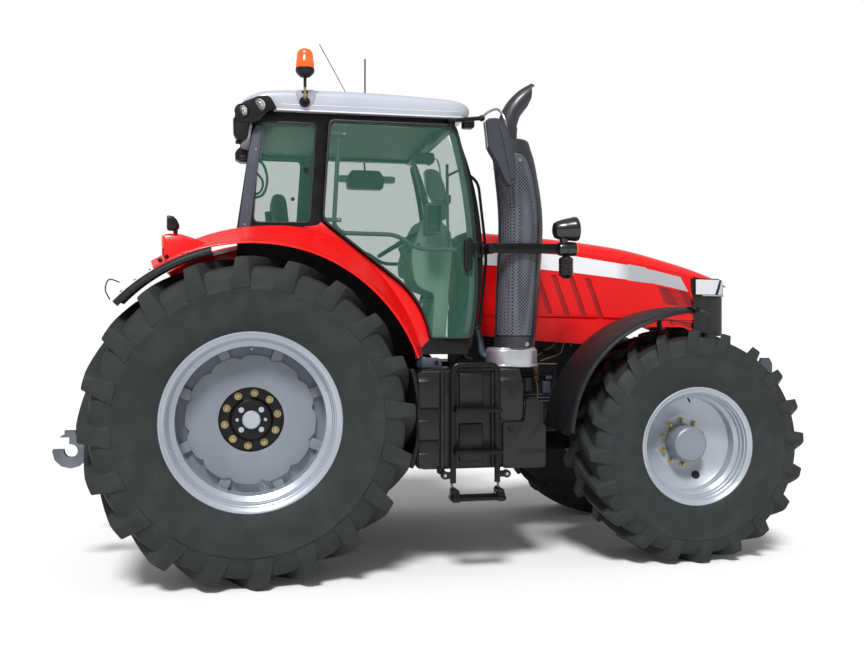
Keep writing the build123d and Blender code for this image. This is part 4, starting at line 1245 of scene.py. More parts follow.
def sheet(rows: Sequence[Sequence[Point]]) -> bmesh.types.BMesh:
    """Open skin through rows of points, with its faces turned to the same side.

    Args:
        rows: rows of as many points each.

    Returns:
        The skin's mesh.
    """
    part = bmesh.new()
    grid = [[part.verts.new(p) for p in row] for row in rows]
    for low, high in zip(grid, grid[1:]):
        for i in range(1, len(low)):
            part.faces.new((low[i - 1], low[i], high[i], high[i - 1]))
    bmesh.ops.recalc_face_normals(part, faces=part.faces)
    part.normal_update()
    return part


def thicken(part: bmesh.types.BMesh, lift: float, wall: float) -> bmesh.types.BMesh:
    """Move a skin along its normals and give it thickness below.

    Args:
        part: the skin's mesh, its faces outward.
        lift: how far it moves out.
        wall: the thickness.

    Returns:
        The same mesh.
    """
    part.normal_update()
    for vert, way in [(v, v.normal.copy()) for v in part.verts]:
        vert.co += way * lift
    part.normal_update()
    bmesh.ops.solidify(part, geom=part.faces[:], thickness=wall)
    return part


# ---- Bonnet --------------------------------------------------------------------------------------
@dataclass
class Bonnet:
    """One-piece bonnet with its stripe, vents, headlamps and wrapped grille."""

    sections: tuple = (  # x, half width at the foot, at the shoulder, shoulder z, top z
        (1.602, 0.449, 0.425, 2.225, 2.333), (2.0, 0.448, 0.423, 2.2, 2.306),
        (2.4, 0.444, 0.42, 2.166, 2.275), (2.8, 0.434, 0.41, 2.107, 2.224),
        (3.1, 0.419, 0.395, 2.052, 2.154), (3.35, 0.402, 0.374, 1.998, 2.085),
        (3.5, 0.384, 0.352, 1.958, 2.036), (3.6, 0.366, 0.33, 1.93, 1.996),
        (3.68, 0.33, 0.3, 1.904, 1.958),
    )
    nose: tuple = (
        (3.33, 1.3), (3.9, 1.3), (3.9, 1.93), (3.69, 1.93), (3.352, 2.006), (3.42, 1.87), (3.47, 1.6),
        (3.47, 1.3),
    )
    below: tuple = (
        (1.5, 1.3), (1.5, 1.566), (2.06, 1.515), (2.54, 1.482), (2.6, 1.5), (2.66, 1.565), (2.77, 1.612),
        (3.25, 1.616), (3.42, 1.552), (3.9, 1.552), (3.9, 1.3),
    )
    stripe: tuple = (
        (1.62, 2.178), (2.0, 2.166), (2.38, 2.142), (2.79, 2.084), (2.815, 2.088), (2.945, 2.066),
        (2.965, 2.056), (3.24, 1.998), (3.305, 1.888), (3.01, 1.946), (2.95, 1.95), (2.81, 1.966),
        (2.79, 1.974), (2.38, 2.018), (2.0, 2.052), (1.62, 2.072),
    )
    crease: float = 1.69  # height of the fold along the sides
    vent_top: Flat = (2.054, 2.012)
    vent_foot: float = 1.712
    vents: int = 4
    mesh_panels: tuple = (
        ((3.044, 1.925), (3.318, 1.875), (3.366, 1.752), (3.098, 1.79)),
        ((3.14, 1.672), (3.386, 1.64), (3.4, 1.575), (3.25, 1.63), (3.15, 1.63)),
    )

    def vent(self, index: int) -> list[Flat]:
        """Outline of one vent."""
        x, fall = self.vent_top[0] + 0.134 * index, 0.011 * index
        return [
            (x, self.vent_top[1] - fall), (x + 0.04, self.vent_top[1] - fall),
            (x + 0.147, self.vent_foot - fall), (x + 0.107, self.vent_foot - fall),
        ]

    def section(self, row: Sequence[float]) -> list[Point]:
        """One section of the outer skin, from the left foot over the top to the right foot.

        Args:
            row: one of sections.

        Returns:
            The section's points.
        """
        x, foot, shoulder, shoulder_z, top_z = row
        fold = self.crease - 0.02 * max(0.0, x - 2.0)
        lower = [
            (foot - (0.009 if z < fold else 0.0), z)
            for z in (1.44, 1.56, fold - 0.03, fold - 0.004, fold + 0.012, fold + 0.07)
        ]
        lower = [(y + (shoulder - foot) * (z - 1.44) / (shoulder_z - 1.44), z) for y, z in lower]
        lower += [(foot + (shoulder - foot) * t, 1.44 + (shoulder_z - 1.44) * t) for t in (0.66, 0.8, 0.92)]
        rise = top_z - shoulder_z
        upper = [
            (shoulder, shoulder_z), (0.975 * shoulder, shoulder_z + 0.16 * rise),
            (0.9 * shoulder, shoulder_z + 0.5 * rise), (0.78 * shoulder, shoulder_z + 0.78 * rise),
            (0.55 * shoulder, shoulder_z + 0.94 * rise), (0.28 * shoulder, shoulder_z + 0.99 * rise),
            (0.0, top_z),
        ]
        half = curved(lower + upper, 3)
        return [(x, y, z) for y, z in half] + [(x, -y, z) for y, z in reversed(half[:-1])]

    def skin(self) -> bmesh.types.BMesh:
        """The whole outer skin before anything is cut from it."""
        part = sheet([self.section(row) for row in curved(self.sections, 5)])
        carve(part, self.below, False)
        return part

    def region(self, outline: Sequence[Flat], lift: float, wall: float) -> Form:
        """A piece that follows the skin within an outline, on both sides.

        Args:
            outline: x and z of its corners.
            lift: how far outside the skin it lies.
            wall: its thickness.

        Returns:
            The form.
        """
        part = self.skin()
        carve(part, outline, True)
        return Form().add(thicken(part, lift, wall), outward=False)

    def nose_line(self, gap: float) -> list[Flat]:
        """Plan of the nose behind its lamps, from the left side to the middle."""
        rows = (
            (3.35, 0.4), (3.45, 0.395), (3.55, 0.372), (3.62, 0.33), (3.655, 0.26), (3.674, 0.13),
            (3.678, 0.0),
        )
        return [(x - gap, y - gap * (0.9 if y > 0.3 else y / 0.34)) for x, y in curved(rows, 4)]

    def nose_band(
        self, z: Flat, gap: float, share: Flat = (0.0, 1.0), slant: float = 0.0, wall: float = 0.01
    ) -> Form:
        """A band of the nose on the left side.

        Args:
            z: its limits in height.
            gap: how far inside the nose it lies.
            share: its limits along the plan line.
            slant: how far the top leads along the line.
            wall: its thickness.

        Returns:
            The form.
        """
        line, rows = self.nose_line(gap), []
        count = len(line) - 1
        for k in range(7):
            up = k / 6
            row = []
            for i in range(17):
                place = min(
                    1.0, max(0.0, share[0] + (share[1] - share[0]) * i / 16 + slant * (0.5 - up))
                ) * count
                low = min(int(place), count - 1)
                x, y = (line[low][j] + (line[low + 1][j] - line[low][j]) * (place - low) for j in (0, 1))
                row.append(
                    (
                        x - 0.012 * (1 - up) * (z[1] - z[0]) / 0.1 if gap < 0 else x, y,
                        z[0] + (z[1] - z[0]) * up,
                    )
                )
            rows.append(row)
        part = sheet(rows)
        if part.faces[0].normal.y < 0:
            bmesh.ops.reverse_faces(part, faces=part.faces)
        return Form().add(thicken(part, 0.0, wall), outward=False)

    def build(self) -> None:
        """Make the bonnet and what it carries."""
        part = self.skin()
        carve(part, self.nose, False)
        holes = [self.vent(i) for i in range(self.vents)] + list(self.mesh_panels)
        for hole in holes:
            carve(part, hole, False)
        Form().add(thicken(part, 0.0, 0.012), outward=False).piece(
            "bonnet_shell", "bonnet", "red_paint", RED, ["hood"], 28
        )
        slots, meshes = Form(), Form()
        # the vent floors sit 8 mm inside the skin in the darker red: painted shade in the vents
        for i in range(self.vents):
            slots.add(self.region(inset(self.vent(i), -0.004), -0.008, 0.004).bm, outward=False)
        # the set-back perforated panels take the darker red: painted shade
        for panel in self.mesh_panels:
            meshes.add(self.region(inset(panel, -0.004), -0.004, 0.004).bm, outward=False)
        slots.piece("bonnet_vents", "bonnet", "red_paint", RED_VENT_SHADE_AND_SEAM)
        meshes.piece("bonnet_mesh", "bonnet", "red_paint", SHADED_INTAKE_MESH)
        self.region(self.stripe, 0.0008, 0.0008).piece("bonnet_stripe", "bonnet", "silver_paint", STRIPE)
        seam = [
            (x, z + 0.012)
            for x, z in (
                (1.62, 2.21), (2.0, 2.186), (2.4, 2.154), (2.8, 2.096), (3.1, 2.041), (3.34, 1.992)
            )
        ]
        line = seam + [(x, z - 0.003) for x, z in reversed(seam)]
        self.region(line, 0.0006, 0.0006).piece("bonnet_seam", "bonnet", "red_paint", RED_VENT_SHADE_AND_SEAM)
        self.nose_parts()

    def nose_parts(self) -> None:
        """Headlamps, their trims and the grille."""
        lamp_z, grille_z = (1.866, 1.98), (1.552, 1.85)
        self.nose_band(grille_z, 0.006, wall=0.006).doubled().piece(
            "grille_mesh", "bonnet", "black_plastic", GRILLE_MESH, ["hood_grille"]
        )
        backing = self.nose_band((1.548, 1.99), 0.02, wall=0.008)
        for low, high in ((1.545, 1.556), (1.852, 1.862)):
            backing.add(self.nose_band((low, high), -0.002, wall=0.012).bm, outward=False)
        backing.doubled().piece("grille_frame", "bonnet", "black_plastic", SATIN_BLACK)
        self.nose_band(
            (1.853, 1.863), -0.006, (0.1, 1.0), wall=0.006
        ).doubled().piece("lamp_trim", "bonnet", "silver_paint", SILVER)
        self.nose_band(
            lamp_z, 0.003, (0.03, 0.86), wall=0.004
        ).doubled().piece("lamp_lens", "bonnet", "glass", LENS)
        bars = Form()
        for share in (0.36, 0.6, 0.86):
            bars.add(self.nose_band(lamp_z, 0.0, (share, share + 0.055), -0.1, 0.006).bm, outward=False)
        bars.doubled().piece("lamp_bars", "bonnet", "black_plastic", SATIN_BLACK)


# ---- Fenders -------------------------------------------------------------------------------------
@dataclass
class FrontFenders:
    """Black arches over the front wheels, with a turned-down outer lip."""

    radius: float = 0.953
    y_in: float = 0.68
    y_out: float = 1.198
    span: Flat = (7.0, 102.0)  # degrees up from the rear
    hub: Flat = (WHEELBASE, 0.8)

    def build(self) -> None:
        """Make both fenders."""
        cross = (
            (0.0, -0.012), (0.02, 0.0), (0.2, 0.006), (0.45, 0.01), (0.7, 0.004), (0.88, -0.006),
            (0.97, -0.016), (1.0, -0.03), (1.0, -0.042),
        )
        rows = []
        for i in range(41):
            share = i / 40
            turn = radians(self.span[0] + (self.span[1] - self.span[0]) * share)
            flare = 0.022 * sin(pi * min(1.0, share * 1.5)) - 0.012 * max(0.0, share - 0.8) / 0.2
            y_out = self.y_out - 0.23 * max(0.0, (share - 0.68) / 0.32) ** 1.6
            row = []
            for along, rise in curved(cross, 3):
                r = self.radius + rise + flare * (0.4 + 0.6 * along)
                row.append(
                    (
                        self.hub[0] - r * cos(turn), self.y_in + (y_out - self.y_in) * along,
                        self.hub[1] + r * sin(turn),
                    )
                )
            rows.append(row)
        part = sheet(rows)
        if sum(f.normal.z for f in part.faces) < 0:
            bmesh.ops.reverse_faces(part, faces=part.faces)
        arch = Form().add(thicken(part, 0.0, 0.006), outward=False)
        stand = Form()
        pivot_z, arm_z, top_z = 0.9406, 0.965, 1.733
        stand.disc((self.hub[0], 0.69, pivot_z), Axis.Z, 0.0, 0.04, 0.045)
        run = [
            (self.hub[0], 0.69, arm_z), (self.hub[0], 0.535, arm_z), (self.hub[0], 0.535, top_z),
            (self.hub[0], 1.14, top_z),
        ]
        stand.rod(softened(run, 0.07), 0.02, 14)
        for y in (0.74, 0.9, 1.06):
            stand.box(
                (self.hub[0] - 0.03, self.hub[0] + 0.03), (y - 0.025, y + 0.025),
                (top_z + 0.014, top_z + 0.022), 0.002,
            )
            stand.bolt((self.hub[0], y, top_z - 0.018), (self.hub[0], y, 0), 0.01, 0.012)
        for side, first, second in (("right", arch.flipped(), stand.flipped()), ("left", arch, stand)):
            first.piece(
                f"front_arch_{side}", f"fender_{side}", "black_plastic", MOULDED, [f"front_fender_{side}"],
                40,
            )
            second.piece(f"front_arch_stand_{side}", f"fender_{side}", "black_plastic", FRAME_BLACK)


@dataclass
class RearFenders:
    """Red arches beside the cab with their lamp turrets, and the black extensions behind."""

    at: tuple = (20.0, 45.0, 68.0, 90.0, 115.0, 122.0)  # degrees up from forward
    cab: tuple = (1.21, 1.264, 1.299, 1.244, 1.194, 1.19)  # outer skin beside the cab
    rim: tuple = (1.139, 1.139, 1.138, 1.129, 1.128, 1.126)  # outer skin at the outer rim
    hub_z: float = 1.03

    def row(self, radii: Flat) -> list[tuple[float, float]]:
        """Section across the arch.

        Args:
            radii: radius of the outer skin beside the cab and at the outer rim.

        Returns:
            Distance from the middle and radius of each point.
        """
        cab, rim = radii
        rows = (
            (0.554, cab), (0.7, cab), (0.852, cab - 0.001), (0.9, cab + (rim - cab) * 0.17),
            (0.98, cab + (rim - cab) * 0.52), (1.06, cab + (rim - cab) * 0.84), (1.105, rim + 0.004),
            (1.132, rim - 0.001), (1.146, rim - 0.009), (1.149, rim - 0.02),
        )
        return curved(rows, 3)

    def build(self) -> None:
        """Make both sides."""
        table = curved(list(zip(self.at, self.cab, self.rim)), 9)
        rows = []
        for turn, cab, rim in table:
            rows.append(
                [
                    (r * cos(radians(turn)), y, self.hub_z + r * sin(radians(turn)))
                    for y, r in self.row((cab, rim))
                ]
            )
        part = sheet(rows)
        if sum(f.normal.z for f in part.faces) < 0:
            bmesh.ops.reverse_faces(part, faces=part.faces)
        Form().add(thicken(part, 0.0, 0.008), outward=False).add(self.turret().bm).doubled().piece(
            "rear_arches", "chassis", "red_paint", RED, ["rear_fenders"], 38)
        self.extension().doubled().piece(
            "rear_arch_tails", "chassis", "black_plastic", MOULDED, ["fender_extensions"], 38
        )
        self.fittings()

    def turret(self) -> Form:
        """Lamp housing on the rear of the arch."""
        rows = []
        for x, foot, top, half in (
            (-0.25, 2.1, 2.14, 0.055), (-0.31, 2.09, 2.158, 0.078), (-0.37, 2.075, 2.18, 0.09),
            (-0.43, 2.06, 2.198, 0.094), (-0.5, 2.03, 2.201, 0.095), (-0.528, 2.02, 2.198, 0.094),
            (-0.534, 2.02, 2.19, 0.088),
        ):
            corners = [
                (0.985 + half, foot), (0.985 + half, top - 0.05), (0.985 + half * 0.86, top - 0.018),
                (0.985 + half * 0.5, top - 0.002), (0.985, top), (0.985 - half * 0.5, top - 0.002),
                (0.985 - half * 0.86, top - 0.018), (0.985 - half, top - 0.05), (0.985 - half, foot),
            ]
            rows.append([(x, y, z) for y, z in corners])
        return Form().skin(rows, ease=0.0)

    def extension(self) -> Form:
        """Black plastic tail over the back of the tyre."""
        rows = []
        for i in range(25):
            share = i / 24
            turn = radians(103 + 35 * share)
            dip = 0.004 * sin(pi * share)
            cross = (
                (0.614, 1.108), (0.8, 1.112), (1.05, 1.113), (1.17, 1.11), (1.215, 1.103), (1.236, 1.088),
                (1.239, 1.062),
            )
            rows.append(
                [
                    ((r - dip) * cos(turn), y, self.hub_z + (r - dip) * sin(turn))
                    for y, r in curved(cross, 3)
                ]
            )
        part = sheet(rows)
        if sum(f.normal.z for f in part.faces) < 0:
            bmesh.ops.reverse_faces(part, faces=part.faces)
        return Form().add(thicken(part, 0.0, 0.008), outward=False)

    def fittings(self) -> None:
        """Rear lamps, plugs and the lead beside the tail."""
        plugs, amber, red, body = Form(), Form(), Form(), Form()
        for turn, r in ((118.6, 1.152), (116.4, 1.154)):
            at = (r * cos(radians(turn)), 1.13, self.hub_z + (r - 0.018) * sin(radians(turn)))
            plugs.turned(
                [(0, 0), (0, 0.014), (0.006, 0.014), (0.009, 0.01), (0.009, 0)],
                facing(at, (at[0], 9, at[2])), 20,
            )
        amber.box((-0.548, -0.534), (0.905, 1.065), (2.112, 2.186), 0.005)
        red.box((-0.546, -0.534), (0.905, 1.065), (2.064, 2.108), 0.005)
        body.box((-0.482, -0.456), (0.97, 1.0), (2.2, 2.24), 0.003)
        rows = []
        for x, low, high, half in (
            (-0.518, 2.226, 2.313, 0.047), (-0.505, 2.222, 2.314, 0.05), (-0.479, 2.222, 2.309, 0.05),
            (-0.46, 2.226, 2.29, 0.046), (-0.45, 2.234, 2.27, 0.036), (-0.446, 2.24, 2.26, 0.02),
        ):
            rows.append(
                [
                    (x, y, z)
                    for y, z in loop(
                        [
                            (0.985 - half, low), (0.985 + half, low), (0.985 + half, high),
                            (0.985 - half, high),
                        ],
                        0.02,
                    )
                ]
            )
        body.skin(rows)
        lens = Form().box((-0.522, -0.517), (0.942, 1.028), (2.232, 2.306), 0.002)
        lead = curved(
            [(-0.78, 1.2, 1.885), (-0.84, 1.215, 1.9), (-0.86, 1.22, 1.84), (-0.835, 1.215, 1.78)], 8
        )
        cable = Form().rod(lead, 0.004, 8)
        for i in range(5):
            turn = radians(112 + 5.5 * i)
            at = (1.1125 * cos(turn), 1.19, self.hub_z + 1.1125 * sin(turn))
            plugs.bolt(at, (at[0] * 2, 1.19, self.hub_z + 2.225 * sin(turn)), 0.006, 0.006)
        plugs.add(cable.bm)
        plugs.doubled().piece("tail_plugs", "chassis", "black_plastic", SATIN_BLACK)
        amber.doubled().piece("tail_indicators", "chassis", "amber", AMBER)
        red.doubled().piece("tail_lights", "chassis", "amber", RED_LENS)
        body.doubled().piece("tail_work_lamps", "chassis", "black_plastic", SATIN_BLACK)
        lens.doubled().piece("tail_work_lenses", "chassis", "glass", LENS)


# ---- Cab -----------------------------------------------------------------------------------------
LEAN = Matrix.Translation((0, 0.88, 1.47)) @ Matrix.Rotation(
    radians(3), 4, "X"
) @ Matrix.Translation((0, -0.88, -1.47))


@dataclass
class Cab:
    """Side frames, glazing, doors and rails, each side drawn upright and then leant in."""

    outer: float = 0.8397  # outer face of a side frame at the sill
    inner: float = 0.7797
    face: float = 0.88  # outer face of a door at the sill
    quarter: tuple = ((0.055, 2.99), (0.435, 2.99), (0.392, 2.308), (0.006, 2.302))
    screen: tuple = ((1.455, 1.54), (1.53, 2.2), (1.33, 2.97))
    rear: tuple = ((-0.06, 2.01), (0.012, 2.97))
    arch: tuple = ((21.4, 1.213), (45.0, 1.266), (68.0, 1.301), (90.0, 1.246), (94.3, 1.236))

    def door_line(self) -> list[Flat]:
        """Outline of a door, its lower rear edge curved over the wheel."""
        front = arc(
            (1.478, 1.535), (1.523, 1.85), (1.52, 2.15), 7
        )[:-1] + arc((1.52, 2.15), (1.478, 2.6), (1.385, 3.01), 9)
        return front + [(0.512, 3.01), (0.465, 2.33)] + arc((0.99, 1.915), (1.125, 1.74), (1.19, 1.535), 8)

    def frame_line(self) -> list[Flat]:
        """Outline of a side frame, its foot along the wheel arch."""
        foot = [
            (r * cos(radians(turn)), REAR_RADIUS + r * sin(radians(turn)))
            for turn, r in curved(self.arch, 5)
        ]
        return arc((1.476, 1.471), (1.568, 2.2), (1.357, 3.05), 16) + [(0.022, 3.05)] + foot[::-1]

    def across(self, line: Sequence[Flat], bow: float) -> Form:
        """Pane across the cab between its leant sides.

        Args:
            line: x and z up the pane.
            bow: how far its middle stands out forward.

        Returns:
            The pane.
        """
        rows = []
        for x, z in line:
            half = self.inner - 0.001 - (z - 1.47) * 0.0524
            rows.append([(x + bow * (1 - (t / 6) ** 2), half * t / 6, z) for t in range(-6, 7)])
        return Form().add(thicken(sheet(rows), 0.0, 0.006), outward=False)

    def frames(self) -> None:
        """Side frames with their beams, rear pillar covers and grab rails."""
        holes = [loop(inset(self.door_line(), 0.016), 0.04), loop(self.quarter, 0.05)]
        frame_form = Form().prism(self.frame_line(), Axis.Y, self.inner, self.outer, 0.007, 3, LEAN, holes)
        for x, z in ((0.434, 2.34), (0.434, 2.303), (0.355, 2.25)):
            frame_form.disc((x, self.outer, z), Axis.Y, -0.002, 0.004, 0.007, 12, 0.001)
        rails = (  # how far out it stands, its radius, x and z along it
            (0.0, 0.0105, ((1.455, 1.59), (1.545, 1.61), (1.603, 2.11), (1.55, 2.63), (1.445, 2.7))),
            (0.03, 0.007, ((1.45, 1.62), (1.482, 1.64), (1.526, 2.115), (1.47, 2.66), (1.43, 2.72))),
        )
        for stand, radius, run in rails:
            line = softened([(x, self.outer - 0.02 + stand, z) for x, z in run], 0.09, 6)
            frame_form.add(Form().rod(line, radius, 12).moved(LEAN).bm, outward=False)
        frame_form.doubled()
        for x, half, z in (
            ((1.3, 1.385), 0.74, (2.975, 3.044)), ((0.02, 0.1), 0.74, (2.975, 3.044)),
            ((1.4, 1.475), 0.79, (1.476, 1.532)),
        ):
            frame_form.box(x, (-half, half), z, 0.006)
        frame_form.piece("cab_side_frames", "chassis", "dark_metal", FRAME_BLACK, ["cab_frame"])
        cover = [
            (-0.084, 2.25), (-0.012, 2.8), (0.004, 2.9), (0.03, 2.955), (0.062, 2.965), (0.078, 2.93),
            (0.07, 2.86), (-0.004, 2.262), (-0.04, 2.256),
        ]
        side = Form().prism(cover, Axis.Y, self.outer - 0.004, self.outer + 0.014, 0.012, 4, LEAN)
        side.doubled().piece("rear_pillar_covers", "chassis", "black_plastic", PILLAR_GREY)
        arch = [
            (r * cos(radians(turn)), REAR_RADIUS + r * sin(radians(turn)))
            for turn, r in curved(self.arch[:3], 8)
        ]
        edge = arc((0.99, 1.915), (1.125, 1.74), (1.19, 1.535), 8)[::-1]
        line = [(x - 0.004, z - 0.006) for x, z in edge] + [
            (0.462, 2.318), (0.43, 2.296), (0.34, 2.286)
        ] + arch[::-1]
        cheek = Form().prism(line, Axis.Y, self.outer - 0.004, self.outer + 0.008, 0.002, 2, LEAN).doubled()
        cheek.piece("fender_cheeks", "chassis", "red_paint", RED)
        dots = Form()
        for x, z in ((0.033, 2.792), (-0.04, 2.292)):
            dots.disc((x, self.outer + 0.012, z), Axis.Y, 0.0, 0.005, 0.008, 14, 0.001)
        dots.moved(LEAN).doubled().piece("rear_pillar_bolts", "chassis", "bright_steel", STEEL)
        lining = Form().box((0.03, 1.37), (-0.735, 0.735), (3.012, 3.046), 0.012, 3)
        lining.piece("roof_lining", "chassis", "black_plastic", INNER_GREY)

    def panes(self) -> None:
        """Windscreen, rear window and quarter windows with their hinge buttons."""
        glass = self.across(arc(*self.screen, 12), 0.012).add(self.across(self.rear, -0.01).bm, outward=False)
        pane = Form().prism(
            loop(inset(self.quarter, 0.0003), 0.05), Axis.Y, self.outer - 0.02, self.outer - 0.014, 0.0, 1,
            LEAN,
        )
        glass.add(pane.doubled().bm, outward=False)
        glass.piece("cab_panes", "chassis", "glass", GLASS, ["cab_glass"])
        line = loop(self.quarter, 0.05)
        seal = Form().prism(
            line, Axis.Y, self.outer - 0.01, self.outer + 0.004, 0.003, 2, LEAN, [inset(line, 0.012)]
        )
        seal.doubled().piece("quarter_seals", "chassis", "black_plastic", SEAL)
        catch = Form().disc(
            (0.36, self.outer - 0.014, 2.673), Axis.Y, -0.02, 0.012, 0.016, 20, 0.003
        ).moved(LEAN)
        catch.doubled().piece("quarter_catches", "chassis", "black_plastic", SATIN_BLACK)

    def doors(self) -> None:
        """Doors on their own bodies, each with pane, seal, inner tube, hinges and handle."""
        line = loop(self.door_line(), 0.045)
        rim = Form().prism(line, Axis.Y, self.face - 0.034, self.face, 0.004, 2, LEAN, [inset(line, 0.014)])
        tube = Form().rod(
            softened(
                [
                    (0.586, 0.836, 2.975), (0.546, 0.836, 2.3), (0.6, 0.836, 2.25), (0.973, 0.836, 2.245),
                    (1.11, 0.836, 2.15), (1.455, 0.836, 2.15),
                ],
                0.07, 6,
            ),
            0.015, 12,
        )
        edge = inset(self.door_line(), 0.022)[:17]
        front = edge + [tuple(p) for p in inset(self.door_line(), 0.058)[:17][::-1]]
        tube.prism(front, Axis.Y, self.face - 0.04, self.face - 0.02, 0.004)
        for x0, x1, z in ((0.51, 0.62, 2.916), (0.475, 0.585, 2.335)):
            tube.box((x0, x1 + 0.01), (self.face - 0.036, self.face - 0.022), (z - 0.014, z + 0.014), 0.004)
        tube.moved(LEAN)
        pane = Form().prism(inset(line, 0.007), Axis.Y, self.face - 0.018, self.face - 0.012, 0.0, 1, LEAN)
        studs = Form()
        for x, z in ((0.615, 2.916), (0.576, 2.335)):
            studs.disc((x, self.face - 0.012, z), Axis.Y, -0.004, 0.006, 0.011, 18, 0.002)
        studs.moved(LEAN)
        handle = Form().prism(
            loop(
                [(1.43, 2.0), (1.482, 2.0), (1.49, 2.2), (1.478, 2.225), (1.44, 2.225), (1.428, 2.2)], 0.02
            ),
            Axis.Y, self.face - 0.012, self.face + 0.022, 0.008, 3,
        )
        handle.prism(
            loop([(1.452, 2.03), (1.47, 2.03), (1.474, 2.19), (1.456, 2.19)], 0.008), Axis.Y,
            self.face + 0.018, self.face + 0.032, 0.005, 3,
        )
        handle.prism(
            loop([(1.385, 2.04), (1.44, 2.02), (1.44, 2.2), (1.385, 2.18)], 0.03), Axis.Y, self.face - 0.05,
            self.face - 0.02, 0.008, 3,
        )
        handle.moved(LEAN)
        parts = (
            ("seal", rim, "black_plastic", SEAL, "door"), ("tube", tube, "dark_metal", INNER_DARK, ""),
            ("pane", pane, "glass", GLASS, "door_glass"), ("studs", studs, "bright_steel", STEEL, ""),
            ("handle", handle, "black_plastic", SATIN_BLACK, ""),
        )
        for name, form, slot, finish, node in parts:
            for side, made in (("right", form.flipped()), ("left", form)):
                made.piece(
                    f"door_{name}_{side}", f"cab_door_{side}", slot, finish,
                    [f"{node}_{side}"] if node else (),
                )

    def build(self) -> None:
        """Make the cab's shell."""
        self.frames()
        self.panes()
        self.doors()


@dataclass
class Roof:
    """Domed roof cap, its seams, and lamp housings at its rear and front corners."""

    rows: tuple = (  # x, top z, bottom z, half width
        (-0.07, 3.105, 3.084, 0.65), (-0.058, 3.128, 3.064, 0.7), (-0.03, 3.15, 3.054, 0.75),
        (0.02, 3.172, 3.051, 0.785), (0.1, 3.195, 3.051, 0.803),
        (0.3, 3.209, 3.051, 0.804), (0.7, 3.216, 3.051, 0.804), (1.05, 3.207, 3.051, 0.804),
        (1.3, 3.195, 3.051, 0.804), (1.39, 3.186, 3.051, 0.8),
        (1.45, 3.172, 3.056, 0.777), (1.49, 3.152, 3.086, 0.73), (1.508, 3.134, 3.112, 0.665),
    )

    def cap(self) -> Form:
        """The roof cap."""
        rows = []
        for x, top, low, wide in curved(self.rows, 3):
            rise = top - low
            shares = (
                (-0.012, 0.0), (0.0, 0.25), (-0.002, 0.55), (-0.014, 0.8), (-0.05, 0.93), (-0.13, 0.98),
                (-0.4, 0.995), (-0.6, 0.999),
            )
            half = [(wide + aside, low + up * rise) for aside, up in shares] + [(0.0, top)]
            half = curved(half, 3)
            rows.append([(x, y, z) for y, z in half] + [(x, -y, z) for y, z in reversed(half[:-1])])
        return Form().skin(rows)

    def build(self) -> None:
        """Make the roof and what is fixed to its corners."""
        self.cap().piece("roof_cap", "chassis", "roof_grey", ROOF, ["cab_roof"], 40)
        seams = Form().box(
            (0.17, 1.43), (0.79, 0.806), (3.051, 3.06), 0.002
        ).box((0.2, 1.4), (0.79, 0.8055), (3.09, 3.094), 0.001)
        seams.doubled()
        seams.box((0.93, 0.97), (-0.66, -0.62), (3.18, 3.2), 0.006).box(
            (1.06, 1.1), (-0.66, -0.62), (3.172, 3.194), 0.006
        )
        seams.piece("roof_seams", "chassis", "roof_grey", ROOF_EDGE)
        house = [
            (-0.108, 2.98), (-0.06, 2.955), (0.02, 2.955), (0.07, 2.99), (0.11, 3.04), (0.168, 3.056),
            (0.128, 3.128), (0.1, 3.14), (0.04, 3.13), (-0.04, 3.095), (-0.095, 3.05),
        ]
        shell = Form().prism(loop(house, 0.014, 3), Axis.Y, 0.72, 0.832, 0.016, 4).doubled()
        bucket = [
            (-0.116, 2.99), (-0.114, 2.88), (-0.088, 2.838), (-0.05, 2.836), (-0.02, 2.868), (-0.002, 2.99)
        ]
        shell.prism(
            loop(bucket, 0.02, 4), Axis.Y, -0.826, -0.74, 0.02, 4
        ).box((-0.1, -0.06), (-0.8, -0.76), (2.822, 2.842), 0.006)
        shell.box((-0.07, -0.03), (-0.76, -0.72), (2.725, 2.75), 0.005)
        shell.rod([(-0.05, -0.74, 2.74), (-0.07, -0.75, 2.8), (-0.06, -0.76, 2.84)], 0.003, 8)
        bezels, bowls, lenses = Form(), Form(), Form()
        for x, z, r, away in ((-0.058, 3.03, 0.041, -0.3), (0.05, 3.072, 0.047, -0.16)):
            place = facing((x, 0.822, z), (x + away, 1.822, z - 0.1))
            bezels.turned(
                [
                    (0.0, r + 0.006), (0.014, r + 0.006), (0.018, r + 0.002), (0.014, r - 0.003),
                    (0.0, r - 0.004),
                ],
                place, 32, closed=True,
            )
            bowls.turned(
                [
                    (0.001, 0), (0.001, r * 0.34), (0.006, r * 0.36), (0.006, r * 0.62), (0.002, r * 0.66),
                    (0.008, r), (-0.004, r), (-0.004, 0),
                ],
                place, 32,
            )
            for k in range(6):
                turn = k * pi / 3
                bowls.turned(
                    [(0.004, 0.0), (0.008, r * 0.13), (0.003, r * 0.17)],
                    place @ Matrix.Translation((r * 0.5 * cos(turn), r * 0.5 * sin(turn), 0.002)), 10,
                )
            lenses.turned(
                [(0.012, 0.0), (0.0118, r * 0.5), (0.01, r - 0.001), (0.008, r - 0.001), (0.009, 0.0)],
                place, 32,
            )
        shell.piece("rear_lamp_housings", "chassis", "black_plastic", SATIN_BLACK)
        bezels.doubled().piece("rear_lamp_bezels", "chassis", "black_plastic", SATIN_BLACK)
        bowls.doubled().piece("rear_lamp_bowls", "chassis", "bright_steel", REFLECTOR)
        lenses.doubled().piece("rear_lamp_lenses", "chassis", "glass", CLEAR)
        front = Form().box((1.45, 1.53), (0.66, 0.75), (3.0, 3.075), 0.014, 3).doubled()
        front.piece("front_roof_lamps", "chassis", "black_plastic", SATIN_BLACK)


